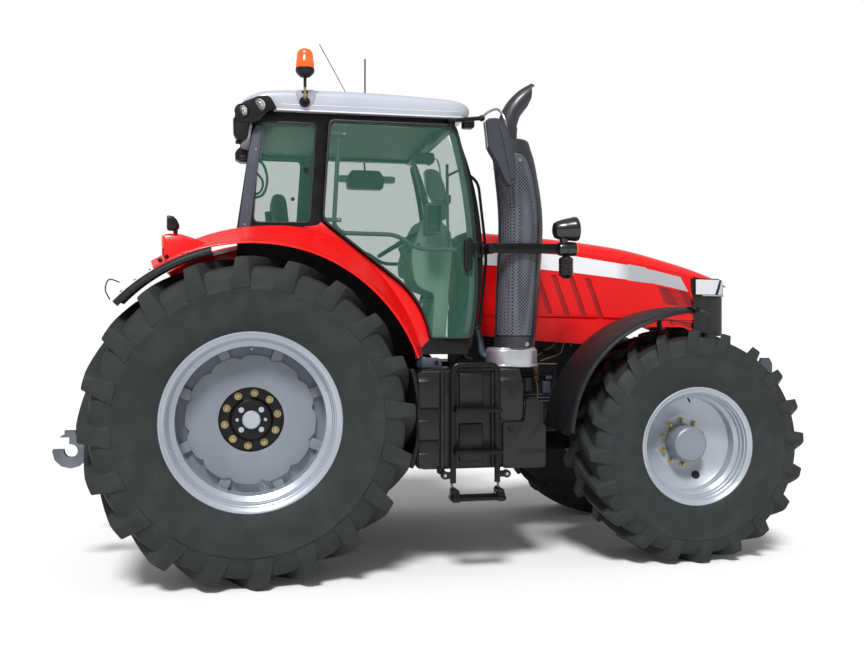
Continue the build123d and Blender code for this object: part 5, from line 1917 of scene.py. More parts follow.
@dataclass
class Beacon:
    """Flashing lamp on its stem beside the roof, and the two aerials on top."""

    at: Point = (0.35, -0.8453, 3.11)

    def build(self) -> None:
        """Make the beacon, its pad and the aerials."""
        x, y, z = self.at
        pad = Form().prism(
            loop(
                [
                    (0.292, 3.19), (0.423, 3.196), (0.42, 3.14), (0.4, 3.092), (0.357, 3.068),
                    (0.316, 3.09), (0.297, 3.14),
                ],
                0.025,
            ),
            Axis.Y, -0.8085, -0.74, 0.003,
        )
        pad.piece("beacon_pad", "chassis", "roof_grey", PAD_GREY)
        dark = Form().turned(
            [(0, 0), (0, 0.034), (0.004, 0.036), (0.014, 0.034), (0.02, 0.026), (0.02, 0)],
            facing((x, -0.807, z), (x, -2, z)), 28,
        )
        dark.ball((x, y, z + 0.004), 0.014).box(
            (x - 0.022, x + 0.022), (y - 0.006, y + 0.004), (z + 0.05, z + 0.066), 0.004
        )
        cup = [
            (0.0, 0.012), (0.0, 0.03), (0.012, 0.045), (0.03, 0.06), (0.045, 0.0625), (0.056, 0.06),
            (0.056, 0.02),
        ]
        dark.turned(
            cup, Matrix.Translation((x, y, z + 0.158)), 40, closed=True
        ).rod([(x, y, z + 0.09), (x, y, z + 0.18)], 0.01)
        for foot, tip, r in (
            ((0.735, -0.3, 3.212), (0.49, -0.3, 3.65), 0.0028),
            ((0.82, -0.3, 3.209), (0.82, -0.3, 3.56), 0.0055),
        ):
            dark.turned(
                [(-0.004, 0), (-0.004, 0.019), (0.014, 0.017), (0.03, 0.009), (0.036, 0.0)],
                Matrix.Translation(foot), 20,
            )
            dark.rod([foot, tip], r, 10)
        dark.piece("beacon_base", "chassis", "black_plastic", SATIN_BLACK, ["beacon"])
        stem = Form().rod([(x, y, z), (x, y, z + 0.1)], 0.009, 16).turned(
            [(0, 0), (0, 0.013), (0.012, 0.013), (0.012, 0)], Matrix.Translation((x, y, z + 0.03)), 6
        )
        stem.piece("beacon_stem", "chassis", "bright_steel", BRASS)
        dome = [
            (0.0, 0.0), (0.0, 0.0585), (0.014, 0.0595), (0.05, 0.058), (0.054, 0.0555), (0.09, 0.053),
            (0.108, 0.048), (0.122, 0.036), (0.13, 0.016), (0.131, 0.0),
        ]
        Form().turned(dome, Matrix.Translation((x, y, z + 0.214)), 40).piece(
            "beacon_dome", "chassis", "amber", AMBER, (), 50
        )


# ---- Side fittings -------------------------------------------------------------------------------
@dataclass
class Exhaust:
    """Stack with its perforated guard, scooped outlet and the casing below."""

    y: float = -0.84
    rows: tuple = (
        (1.4703, 1.785, 0.14), (1.9, 1.812, 0.15), (2.35, 1.83, 0.153), (2.7, 1.79, 0.145),
        (2.86, 1.757, 0.134),
    )

    def ring(self, z: float, x: float, r: float, turns: Iterable[float]) -> list[Point]:
        """Points round the stack at one height."""
        return [(x + r * sin(turn), self.y - r * cos(turn), z) for turn in turns]

    def at(self, z: float) -> tuple[float, float]:
        """Where the stack stands at a height.

        Args:
            z: the height.

        Returns:
            Its centre's x and its radius.
        """
        table = curved(self.rows, 8)
        for (z0, x0, r0), (z1, x1, r1) in zip(table, table[1:]):
            if z <= z1:
                share = (z - z0) / (z1 - z0)
                return x0 + (x1 - x0) * share, r0 + (r1 - r0) * share
        return table[-1][1], table[-1][2]

    def patch(self, grow: float, lift: float) -> Form:
        """A panel on the stack's outer side with a rounded head.

        Args:
            grow: how far it reaches past the guard's edge.
            lift: how far it stands out from the stack.

        Returns:
            The panel.
        """
        rows = []
        low, head, top = 1.56 - grow, 2.6, 2.79 + grow
        for i in range(37):
            z = low + (top - low) * (i / 36) ** 0.8
            share = 1.0 if z < head else sqrt(max(0.02, 1 - ((z - head) / (top - head)) ** 2))
            right, left = radians(32) + grow * 6, radians(-76) - grow * 6
            middle = radians(4)
            x, r = self.at(z)
            first, last = middle + (left - middle) * share, middle + (right - middle) * share
            rows.append(self.ring(z, x, r + 0.001, [first + (last - first) * k / 18 for k in range(19)]))
        return Form().add(thicken(sheet(rows), lift, 0.004), outward=False)

    def horn(self) -> Form:
        """The outlet, cut away at the front like a scoop."""
        line = (
            (1.735, 2.8, 0.07, 0.0), (1.733, 2.93, 0.07, 0.0), (1.745, 3.03, 0.07, 0.22),
            (1.79, 3.12, 0.07, 0.62), (1.86, 3.2, 0.064, 0.85), (1.935, 3.262, 0.05, 0.9),
        )
        rows = []
        for x, z, r, tilt in curved(line, 5):
            row = [
                (x + r * cos(a) * cos(tilt), self.y + r * sin(a), z - r * cos(a) * sin(tilt))
                for a in (2 * pi * i / 36 for i in range(37))
            ]
            rows.append(row)
        part = sheet(rows)
        bmesh.ops.remove_doubles(part, verts=part.verts, dist=1e-6)
        carve(
            part,
            [
                (1.79, 2.99), (1.812, 3.06), (1.87, 3.135), (1.894, 3.19), (1.9, 3.262), (2.2, 3.5),
                (2.2, 2.8),
            ],
            False,
        )
        bmesh.ops.recalc_face_normals(part, faces=part.faces)
        return Form().add(thicken(part, 0.0, 0.003), outward=False)

    def build(self) -> None:
        """Make the stack and the casing."""
        turns = [2 * pi * i / 56 for i in range(56)]
        rings = [self.ring(z, x, r, turns) for z, x, r in curved(self.rows, 6)]
        x, r = self.at(2.86)
        rings += [
            self.ring(2.885, x - 0.005, r - 0.004, turns), self.ring(2.895, x - 0.007, r - 0.016, turns),
            self.ring(2.897, x - 0.007, r - 0.04, turns),
        ]
        stack = Form().skin(rings).add(self.horn().bm, outward=False)
        stack.piece("stack_shell", "chassis", "black_plastic", STACK_BLACK, ["exhaust_stack"], 40)
        # a near-black sheet a little larger than the guard, just under it: painted shade around the guard
        self.patch(0.01, 0.0005).piece("stack_guard_shade", "chassis", "black_plastic", SATIN_BLACK)
        self.patch(0.0, 0.0025).piece("stack_guard", "chassis", "black_plastic", STACK_MESH)
        body = loop(
            [
                (1.59, -0.9), (1.655, -0.975), (1.875, -0.975), (1.94, -0.9), (1.94, -0.78),
                (1.875, -0.705), (1.655, -0.705), (1.59, -0.78),
            ],
            0.07, 5,
        )
        casing = Form().prism(body, Axis.Z, 1.343, 1.47, 0.022, 5)
        casing.prism(
            inset(body, -0.006), Axis.Z, 1.343, 1.362, 0.006, 3
        ).prism(inset(body, 0.012), Axis.Z, 1.45, 1.476, 0.006, 3)
        casing.piece("aftertreatment_cover", "chassis", "aluminium", ALUMINIUM, ["aftertreatment_casing"], 50)
        bits = Form()
        x, r = self.at(1.5)
        bits.bolt((x + 0.35 * r, self.y - 0.95 * r, 1.5), (x + 0.7 * r, self.y - 3 * r, 1.5), 0.01, 0.012)
        x, r = self.at(2.745)
        bits.bolt((x, self.y - r - 0.002, 2.745), (x, -3, 2.745), 0.009, 0.01)
        bits.piece("stack_screws", "chassis", "bright_steel", STEEL)
        pipe = Form().rod(
            softened([(1.64, -0.74, 1.4), (1.59, -0.72, 1.42), (1.545, -0.7, 1.66)], 0.06), 0.026, 16
        )
        pipe.rod(softened([(1.555, -0.55, 1.38), (1.5, -0.55, 1.4), (1.47, -0.56, 1.46)], 0.04), 0.014, 12)
        pipe.piece("charge_pipe", "chassis", "dark_metal", PIPE_BLUE)


@dataclass
class Mirrors:
    """Folding mirrors on their arms in front of the doors."""

    outline: tuple = (
        (1.522, 2.992), (1.6, 3.0), (1.652, 2.968), (1.698, 2.85), (1.722, 2.728), (1.727, 2.572),
        (1.69, 2.55), (1.66, 2.568), (1.602, 2.697), (1.54, 2.8),
    )

    def build(self) -> None:
        """Make both mirrors."""
        case = Form().prism(loop(self.outline, 0.022), Axis.Y, 1.012, 1.098, 0.022, 5)
        ridge = [
            (1.604, 2.955), (1.64, 2.96), (1.688, 2.85), (1.712, 2.73), (1.715, 2.6), (1.69, 2.59),
            (1.655, 2.75), (1.625, 2.88),
        ]
        case.prism(loop(ridge, 0.014), Axis.Y, 1.09, 1.106, 0.008, 3)
        case.box((1.565, 1.585), (1.096, 1.103), (2.66, 2.668), 0.002)
        glass = Form().prism(
            [(1.5195, 2.975), (1.538, 2.82), (1.5345, 2.8), (1.516, 2.975)], Axis.Y, 1.03, 1.082, 0.001
        )
        arm = Form().rod([(1.345, 0.745, 3.026), (1.345, 0.83, 3.026), (1.535, 0.92, 3.03)], 0.02, 14, 0.7)
        arm.ball((1.535, 0.92, 3.03), 0.022).box((1.33, 1.375), (0.74, 0.82), (2.985, 3.045), 0.008)
        bar = Form().rod(
            curved(
                [
                    (1.535, 0.92, 3.035), (1.575, 0.95, 3.068), (1.625, 1.0, 3.075), (1.66, 1.05, 3.0),
                    (1.668, 1.055, 2.9),
                ],
                6,
            ),
            0.0085, 12,
        )
        case.doubled().piece("mirror_cases", "chassis", "black_plastic", MIRROR_GREY, ["mirrors"])
        glass.doubled().piece("mirror_glasses", "chassis", "glass", REFLECTOR)
        arm.doubled().piece("mirror_arms", "chassis", "dark_metal", SATIN_BLACK)
        bar.doubled().piece("mirror_bars", "chassis", "bright_steel", STEEL)


@dataclass
class WorkLamps:
    """Lamp arms beside the bonnet with their three lamps."""

    y: float = 1.015

    def build(self) -> None:
        """Make both lamp arms."""
        y = self.y
        arm = Form().box((1.6, 2.06), (1.0, 1.03), (2.112, 2.178), 0.005).box(
            (1.555, 1.615), (0.872, 1.03), (2.112, 2.178), 0.008
        )
        arm.box(
            (1.5, 1.57), (0.795, 0.845), (2.09, 2.2), 0.008
        ).box((1.54, 1.6), (0.81, 0.9), (2.112, 2.178), 0.008)
        lamps = Form()
        turn = Matrix.Translation((2.008, y, 2.268)) @ Matrix.Rotation(radians(-5), 4, "Y") @ Axis.X.value
        lamps.turned(
            [
                (0.0, 0), (0.002, 0.03), (0.012, 0.052), (0.03, 0.062), (0.08, 0.073), (0.14, 0.081),
                (0.15, 0.084), (0.168, 0.082), (0.172, 0.077), (0.16, 0.072), (0.16, 0),
            ],
            turn, 40,
        )
        lens = Form().turned([(0.164, 0), (0.164, 0.07), (0.17, 0.068), (0.172, 0.05), (0.173, 0)], turn, 36)
        lamps.turned(
            [(0, 0.0), (0, 0.022), (0.03, 0.026), (0.05, 0.034), (0.05, 0.0)],
            Matrix.Translation((2.085, y, 2.165)), 20,
        )
        turn = Matrix.Translation((2.045, y, 2.145)) @ Axis.X.value
        lamps.turned(
            [
                (0, 0), (0, 0.042), (0.01, 0.047), (0.05, 0.048), (0.052, 0.045), (0.06, 0.045),
                (0.062, 0.048), (0.11, 0.048), (0.122, 0.044), (0.122, 0),
            ],
            turn, 36,
        )
        lower = [(0.0, 0.0), (0.002, 0.02), (0.02, 0.04)]
        for k in range(6):
            lower += [
                (0.024 + 0.02 * k, 0.05), (0.036 + 0.02 * k, 0.05), (0.038 + 0.02 * k, 0.045),
                (0.042 + 0.02 * k, 0.045),
            ]
        lamps.turned(
            [*lower, (0.15, 0.03), (0.16, 0.02), (0.16, 0.0)], Matrix.Translation((2.1, y, 1.942)), 28
        )
        lamps.box((2.065, 2.09), (y - 0.05, y - 0.04), (2.0, 2.08), 0.003)
        ring = Form().turned(
            [(0.119, 0.03), (0.119, 0.0445), (0.128, 0.043), (0.13, 0.036), (0.128, 0.03)], turn, 36,
            closed=True,
        )
        arm.doubled().piece("lamp_arms", "chassis", "dark_metal", FRAME_BLACK, ["work_lamps"])
        lamps.doubled().piece("arm_lamps", "chassis", "black_plastic", GLOSS_BLACK)
        ring.doubled().piece("arm_lamp_rings", "chassis", "amber", AMBER)
        lens.doubled().piece("arm_lamp_lenses", "chassis", "glass", LENS)


@dataclass
class Tanks:
    """Moulded tanks under the cab doors with their panels, and the ladders in front of them."""

    out: float = 1.11

    def panel(self, x: Flat) -> Form:
        """Grooved outer panel of the tank.

        Args:
            x: its rear and front end.

        Returns:
            The panel.
        """
        out = self.out
        line = [
            (0.9, 0.695), (out - 0.012, 0.695), (out, 0.71), (out, 0.79), (out - 0.006, 0.796),
            (out - 0.006, 0.807), (out - 0.022, 0.872), (out, 0.884), (out, 1.004), (out - 0.006, 1.01),
            (out - 0.006, 1.02), (out - 0.022, 1.081), (out, 1.093), (out, 1.262), (out - 0.012, 1.28),
            (out - 0.07, 1.335), (0.9, 1.337),
        ]
        return Form().prism(line, Axis.X, *x, 0.003)

    def build(self) -> None:
        """Make both tanks and ladders."""
        out = self.out
        line = [
            (1.05, 0.72), (1.09, 0.685), (1.65, 0.685), (1.775, 0.82), (1.775, 1.29), (1.735, 1.335),
            (1.08, 1.335), (1.05, 1.3),
        ]
        tank = Form().prism(loop(line, 0.03), Axis.Y, 0.482, out - 0.022, 0.02, 3)
        tank.add(self.panel((1.066, 1.2)).bm, outward=False)
        tank.box(
            (1.208, 1.238), (1.0, out + 0.002), (0.69, 1.335), 0.012, 3
        ).box((1.55, 1.6), (1.0, out), (0.7, 1.332), 0.016, 3)
        tank.box(
            (1.335, 1.5), (1.0, out - 0.006), (1.07, 1.315), 0.012, 3
        ).box((1.335, 1.5), (1.0, out - 0.008), (0.73, 0.985), 0.012, 3)
        tank.prism(
            loop([(1.61, 1.0), (1.765, 1.0), (1.772, 1.262), (1.61, 1.27)], 0.035), Axis.Y, 1.0, out, 0.006
        )
        tank.prism(
            [(1.04, 1.262), (out, 1.262), (out - 0.07, 1.337), (1.0, 1.337)], Axis.X, 1.612, 1.765, 0.004
        )
        plate = [
            (1.63, 0.683), (1.925, 0.683), (1.928, 0.968), (1.882, 0.985), (1.876, 1.138), (1.79, 1.138),
            (1.78, 0.99), (1.63, 0.985),
        ]
        tank.prism(loop(plate, 0.02), Axis.Y, out - 0.03, out, 0.006)
        tank.box((1.772, 1.925), (0.645, out - 0.02), (0.69, 1.12), 0.02, 3)
        tank.box(
            (1.74, 1.92), (out - 0.004, out + 0.004), (0.795, 0.803), 0.002
        ).box((1.74, 1.92), (out - 0.004, out + 0.004), (0.78, 0.788), 0.002)
        tank.box((1.15, 1.4), (0.2603, 0.49), (0.902, 0.998), 0.006)
        tank.doubled().piece("tank_shells", "chassis", "black_plastic", TANK_BLACK, ["side_tanks"], 30)
        turns = [radians(-18 + 35 * i / 14) for i in range(15)]
        line = [(1.056 * cos(a), REAR_RADIUS + 1.056 * sin(a)) for a in turns] + [
            (1.086 * cos(a), REAR_RADIUS + 1.086 * sin(a)) for a in reversed(turns)
        ]
        Form().prism(line, Axis.Y, 0.62, out - 0.01, 0.01, 3).doubled().piece(
            "tank_flaps", "chassis", "black_plastic", MOULDED
        )
        self.brackets()
        self.ladders()

    def brackets(self) -> None:
        """Grey bracket behind the door sill, clip on the plate and the lug beside the tank's foot."""
        grey = Form().prism(
            loop(
                [(1.09, 1.342), (1.262, 1.342), (1.262, 1.39), (1.24, 1.41), (1.13, 1.41), (1.09, 1.39)],
                0.012,
            ),
            Axis.Y, 0.86, 0.9, 0.004,
        )
        grey.prism(
            loop([(1.085, 1.4), (1.14, 1.4), (1.13, 1.47), (1.08, 1.475)], 0.012), Axis.Y, 0.862, 0.878,
            0.004,
        )
        grey.doubled().piece("sill_brackets", "chassis", "dark_metal", PILLAR_GREY)
        bits = Form().disc(
            (1.225, 0.902, 1.378), Axis.Y, 0, 0.008, 0.013, 16
        ).disc((1.68, self.out, 0.955), Axis.Y, 0, 0.014, 0.02, 5)
        bits.disc(
            (1.235, 1.12, 0.652), Axis.Y, -0.02, 0.02, 0.026, 20
        ).disc((1.65, 1.12, 0.652), Axis.Y, -0.02, 0.02, 0.026, 20)
        bits.box(
            (1.235, 1.3), (1.105, 1.135), (0.628, 0.672), 0.006
        ).box((1.58, 1.65), (1.105, 1.135), (0.632, 0.672), 0.006)
        bits.box((1.2, 1.24), (1.02, 1.1), (0.655, 0.7), 0.006)
        bits.doubled().piece("tank_clips", "chassis", "black_plastic", SATIN_BLACK)
        bolts = Form()
        for x in (1.235, 1.65):
            bolts.bolt((x, 1.14, 0.652), (x, 3, 0.652), 0.007, 0.006)
        for x, z in ((1.34, 1.352), (1.39, 1.35), (1.46, 1.36)):
            bolts.bolt((x, 0.95, z), (x, 3, z), 0.01, 0.012)
        bolts.doubled().piece("tank_bolts", "chassis", "bright_steel", STEEL)

    def ladders(self) -> None:
        """Ladder of flat tubes with toothed rungs and a swinging bottom step."""
        y = self.out + 0.0003 + 0.014
        frame_form = Form().rod(
            softened([(1.29, y, 0.6), (1.29, y, 1.366), (1.587, y, 1.366), (1.587, y, 0.6)], 0.05, 6), 0.02,
            16, 0.68,
        )
        for z in (1.08, 0.81):
            frame_form.box((1.285, 1.595), (y - 0.012, 1.238), (z - 0.014, z + 0.01), 0.003)
            for k in range(18):
                for row in (1.15, 1.19, 1.225):
                    frame_form.box(
                        (1.305 + 0.0155 * k, 1.313 + 0.0155 * k), (row - 0.006, row + 0.006),
                        (z + 0.008, z + 0.016), 0.001, 1,
                    )
        for x in (1.29, 1.587):
            frame_form.disc((x, y, 0.552), Axis.Y, -0.014, 0.1, 0.022, 20).box(
                (x - 0.025, x + 0.025), (y - 0.014, y + 0.11), (0.49, 0.545), 0.008
            )
        frame_form.box((1.26, 1.615), (y - 0.01, 1.248), (0.5, 0.524), 0.004)
        for k in range(20):
            for row in (1.15, 1.19, 1.23):
                frame_form.box(
                    (1.28 + 0.0157 * k, 1.288 + 0.0157 * k), (row - 0.006, row + 0.006), (0.522, 0.531),
                    0.001, 1,
                )
        frame_form.doubled().piece("ladder_frames", "chassis", "dark_metal", FRAME_BLACK, ["ladders"])
        straps = Form()
        for x in (1.282, 1.592):
            straps.box((x - 0.008, x + 0.008), (y - 0.006, y + 0.004), (0.53, 0.61), 0.002)
        straps.doubled().piece("ladder_straps", "chassis", "bright_steel", STRAP_GREY)


# ---- Inside the cab ------------------------------------------------------------------------------
@dataclass
class Interior:
    """Seat, consoles, steering wheel, pedals and displays."""

    sill: float = 1.4703
    hub: Point = (1.13, 0.0, 2.255)
    tilt: float = radians(32)
    wheel_r: float = 0.205

    def build(self) -> None:
        """Make the fittings that are seen through the glass."""
        self.dash()
        self.wheel()
        self.seat()
        self.consoles()

    def dash(self) -> None:
        """Dashboard with its hood, column and shroud."""
        z = self.sill
        line = [
            (1.33, z), (1.43, z), (1.465, 1.9), (1.49, 2.2), (1.475, 2.33), (1.39, 2.42), (1.31, 2.44),
            (1.25, 2.4), (1.22, 2.28), (1.18, 2.16), (1.18, 2.08), (1.2, 1.95), (1.24, 1.9), (1.35, 1.86),
        ]
        form = Form().prism(loop(line, 0.03), Axis.Y, -0.228, 0.228, 0.03, 4)
        down = Vector((sin(self.tilt), 0, -cos(self.tilt)))
        top, foot = Vector(self.hub) + down * 0.024, Vector(self.hub) + down * 0.3
        form.turned(
            [(0, 0), (0, 0.036), (0.05, 0.044), (0.12, 0.05), (0.28, 0.04), (0.28, 0)],
            facing(tuple(top), tuple(foot)), 24,
        )
        form.piece("dash_panel", "chassis", "black_plastic", INNER_GREEN, ["dash"])
        dark = Form().prism(
            loop([(1.2, 2.2), (1.31, 2.31), (1.35, 2.33), (1.36, 2.3), (1.24, 2.17)], 0.015), Axis.Y, -0.2,
            0.2, 0.01, 3,
        )
        for y in (-0.16, -0.06):
            dark.rod([(1.36, y, 1.85), (1.22, y, 1.78), (1.18, y, 1.62)], 0.012)
            dark.box((1.14, 1.23), (y - 0.045, y + 0.045), (1.59, 1.61), 0.006)
        dark.rod([(1.12, 0.14, 1.72), (1.28, 0.14, 1.7), (1.33, 0.14, 1.86)], 0.014)
        dark.box((1.09, 1.16), (0.1, 0.18), (1.69, 1.75), 0.008)
        dark.rod([(1.18, -0.03, 2.185), (1.225, -0.24, 2.225)], 0.008).ball((1.225, -0.24, 2.225), 0.016)
        dark.piece("dash_controls", "chassis", "black_plastic", INNER_DARK)

    def wheel(self) -> None:
        """Steering wheel on its own body."""
        axle = (-sin(self.tilt), 0.0, cos(self.tilt))
        place = Matrix.Translation(self.hub) @ Vector(axle).to_track_quat("Z", "Y").to_matrix().to_4x4()
        rim = [
            (0.015 * sin(a), self.wheel_r - 0.015 + 0.015 * cos(a))
            for a in (2 * pi * i / 14 for i in range(14))
        ]
        form = Form().turned(rim, place, 56, closed=True)
        form.turned([(-0.02, 0), (-0.02, 0.048), (0.008, 0.052), (0.018, 0.044), (0.02, 0)], place, 28)
        for turn in (90, 210, 330):
            form.prism(
                loop(
                    [
                        (0.03, -0.024), (self.wheel_r - 0.02, -0.014), (self.wheel_r - 0.02, 0.014),
                        (0.03, 0.024),
                    ],
                    0.004,
                ),
                Axis.Z, -0.006, 0.006, 0.003, place=place @ Matrix.Rotation(radians(turn), 4, "Z"),
            )
        form.piece("steering_wheel_rim", "hand_wheel", "black_plastic", SATIN_BLACK, ["steering_wheel"])

    def seat(self) -> None:
        """Suspended seat frame, armrest and the two pads."""
        z = self.sill
        base = Form().box((0.25, 0.7), (-0.2, 0.2), (z, z + 0.09), 0.015, 3).box(
            (0.232, 0.718), (-0.238, 0.238), (z + 0.332, z + 0.388), 0.02, 3
        )
        rows = []
        for k in range(13):
            grow = 0.0 if k % 2 else -0.016
            rows.append(
                [
                    (x, y, z + 0.085 + 0.25 * k / 12)
                    for x, y in loop(
                        [
                            (0.29 - grow, -0.17 - grow), (0.66 + grow, -0.17 - grow),
                            (0.66 + grow, 0.17 + grow), (0.29 - grow, 0.17 + grow),
                        ],
                        0.04,
                    )
                ]
            )
        base.skin(rows)
        base.box(
            (0.25, 0.8), (-0.378, -0.272), (z + 0.562, z + 0.638), 0.022, 4
        ).box((0.3, 0.38), (-0.33, -0.238), (z + 0.342, z + 0.58), 0.012, 3)
        base.rod(
            [(0.68, -0.325, z + 0.63), (0.7, -0.325, z + 0.72)], 0.009
        ).ball((0.702, -0.325, z + 0.735), 0.024)
        base.box(
            (0.16, 0.25), (-0.15, 0.15), (z + 0.37, z + 0.55), 0.015, 3
        ).rod([(0.2, 0, z + 0.5), (0.14, 0, z + 1.0)], 0.03)
        base.piece("seat_frame", "chassis", "black_plastic", MOULDED, ["seat_base"])
        top = z + 0.3903
        cushion = Form().box((0.256, 0.734), (-0.224, 0.224), (top, top + 0.1), 0.035, 4)
        back_line = [(0.222, top + 0.115), (0.322, top + 0.115), (0.246, top + 0.73), (0.156, top + 0.73)]
        back = Form().prism(back_line, Axis.Y, -0.214, 0.214, 0.035, 4)
        for name, form, nodes in (("seat_cushion", cushion, ["seat_pads"]), ("seat_back", back, [])):
            pad = form.piece(name, "chassis", "seat_fabric", SEAT_CLOTH, nodes, 60)
            puff(pad, PAD_REACH)
        pipes = Form().rod(
            [(x + 0.002, y, z0) for x, y, z0 in pad_seam(0.262, 0.728, 0.218, top + 0.052)], 0.004, 8
        )
        pipes.piece("seat_piping", "chassis", "seat_fabric", INNER_DARK)

    def consoles(self) -> None:
        """Side console, levers, screen on its post, roof shelf and rear hoop."""
        green = Form().prism(
            loop(
                [
                    (0.28, self.sill), (0.95, self.sill), (0.98, 1.75), (0.86, 2.05), (0.35, 2.1),
                    (0.28, 2.0),
                ],
                0.05,
            ),
            Axis.Y, 0.3, 0.5, 0.02, 3,
        )
        green.box((0.724, 1.195), (0.62, 0.7), (2.806, 2.86), 0.016, 4)
        arch = [
            (r * cos(radians(turn)), y, REAR_RADIUS + r * sin(radians(turn)))
            for turn, r, y in ((60, 1.33, 0.66), (75, 1.325, 0.66), (90, 1.27, 0.66))
        ]
        green.rod(curved(arch, 6), 0.05, 14)
        green.prism(
            loop(
                [
                    (1.2, 2.0), (1.34, 2.02), (1.43, 2.2), (1.41, 2.42), (1.31, 2.44), (1.24, 2.3),
                    (1.19, 2.12),
                ],
                0.05,
            ),
            Axis.Y, 0.28, 0.52, 0.04, 4,
        )
        green.piece("cab_lining", "chassis", "black_plastic", INNER_GREEN)
        dark = Form().prism(
            loop([(0.8, 2.75), (1.09, 2.75), (1.1, 2.84), (1.06, 2.9), (0.83, 2.9), (0.79, 2.84)], 0.02),
            Axis.Y, 0.6, 0.72, 0.02, 3,
        )
        dark.rod(
            [(1.392, -0.5, 2.19), (1.386, -0.5, 2.78)], 0.011
        ).box((1.37, 1.41), (-0.53, -0.46), (2.5, 2.56), 0.008)
        dark.rod(
            [(1.392, -0.5, 2.7), (1.44, -0.62, 2.72), (1.452, -0.7, 2.72)], 0.009
        ).rod([(1.392, -0.5, 2.25), (1.42, -0.66, 2.22)], 0.009)
        dark.rod([(1.37, -0.5, 2.53), (1.3, -0.47, 2.53), (1.29, -0.45, 2.45)], 0.01)
        dark.prism(
            loop([(1.235, 2.275), (1.35, 2.285), (1.368, 2.5), (1.3, 2.52), (1.235, 2.5)], 0.02), Axis.Y,
            -0.47, -0.38, 0.012, 3,
        )
        dark.rod(
            curved(
                [
                    (0.02, -0.6, 2.49), (0.085, -0.6, 2.52), (0.112, -0.6, 2.62), (0.085, -0.6, 2.72),
                    (0.03, -0.6, 2.76),
                ],
                6,
            ),
            0.009,
        )
        dark.rod(
            curved([(0.02, -0.52, 2.52), (0.07, -0.52, 2.55), (0.082, -0.52, 2.62), (0.02, -0.52, 2.7)], 6),
            0.008,
        )
        dark.rod([(0.95, 0.735, 2.98), (0.95, 0.66, 2.83)], 0.008)
        dark.box((1.2, 1.36), (-0.2, -0.1), (2.84, 2.92), 0.02, 3)
        dark.piece("cab_trim", "chassis", "black_plastic", INNER_DARK)
        screen = Form().prism(
            [(1.245, 2.3), (1.34, 2.308), (1.352, 2.49), (1.25, 2.49)], Axis.Y, -0.474, -0.469, 0.001
        )
        screen.piece("display", "chassis", "glass", SCREEN)


def pad_seam(x0: float, x1: float, half: float, z: float) -> list[Point]:
    """Rounded rectangle at a height, its end run into its start.

    Args:
        x0, x1: its limits along the tractor.
        half: its half width.
        z: the height.

    Returns:
        The points.
    """
    flat = loop([(x0, -half), (x1, -half), (x1, half), (x0, half)], 0.035, 5)
    return [(x, y, z) for x, y in [*flat, flat[0]]]


def puff(pad: bpy.types.Object, reach: float) -> None:
    """Inflate a pad's cover with a cloth simulation and keep the result.

    Args:
        pad: the pad's object.
        reach: the most that any point may move, in metres.
    """
    mesh = pad.data
    name, finish = mesh.name, mesh.materials[0]
    work = bpy.data.objects.new("puff", mesh.copy())
    bpy.context.scene.collection.objects.link(work)
    remesh = work.modifiers.new("remesh", "REMESH")
    remesh.mode, remesh.voxel_size = "VOXEL", PAD_VOXEL
    graph = bpy.context.evaluated_depsgraph_get()
    fine = bpy.data.meshes.new_from_object(work.evaluated_get(graph))
    work.modifiers.clear()
    work.data = fine
    start = [v.co.copy() for v in fine.vertices]
    cloth = work.modifiers.new("cloth", "CLOTH")
    cloth.settings.use_pressure = True
    cloth.settings.uniform_pressure_force = PAD_PRESSURE
    cloth.settings.quality = 5
    cloth.settings.effector_weights.gravity = 0.0
    cloth.point_cache.frame_start, cloth.point_cache.frame_end = 1, PAD_FRAMES
    for number in range(1, PAD_FRAMES + 1):
        bpy.context.scene.frame_set(number)
    graph = bpy.context.evaluated_depsgraph_get()
    blown = bpy.data.meshes.new_from_object(work.evaluated_get(graph))
    bpy.context.scene.frame_set(1)
    for vert, at in zip(blown.vertices, start):
        move = vert.co - at
        if move.length > reach:
            vert.co = at + move.normalized() * reach
    blown.materials.clear()
    blown.materials.append(finish)
    blown.shade_smooth()
    bpy.data.objects.remove(work)
    pad.data = blown
    bpy.data.meshes.remove(mesh)
    blown.name = name
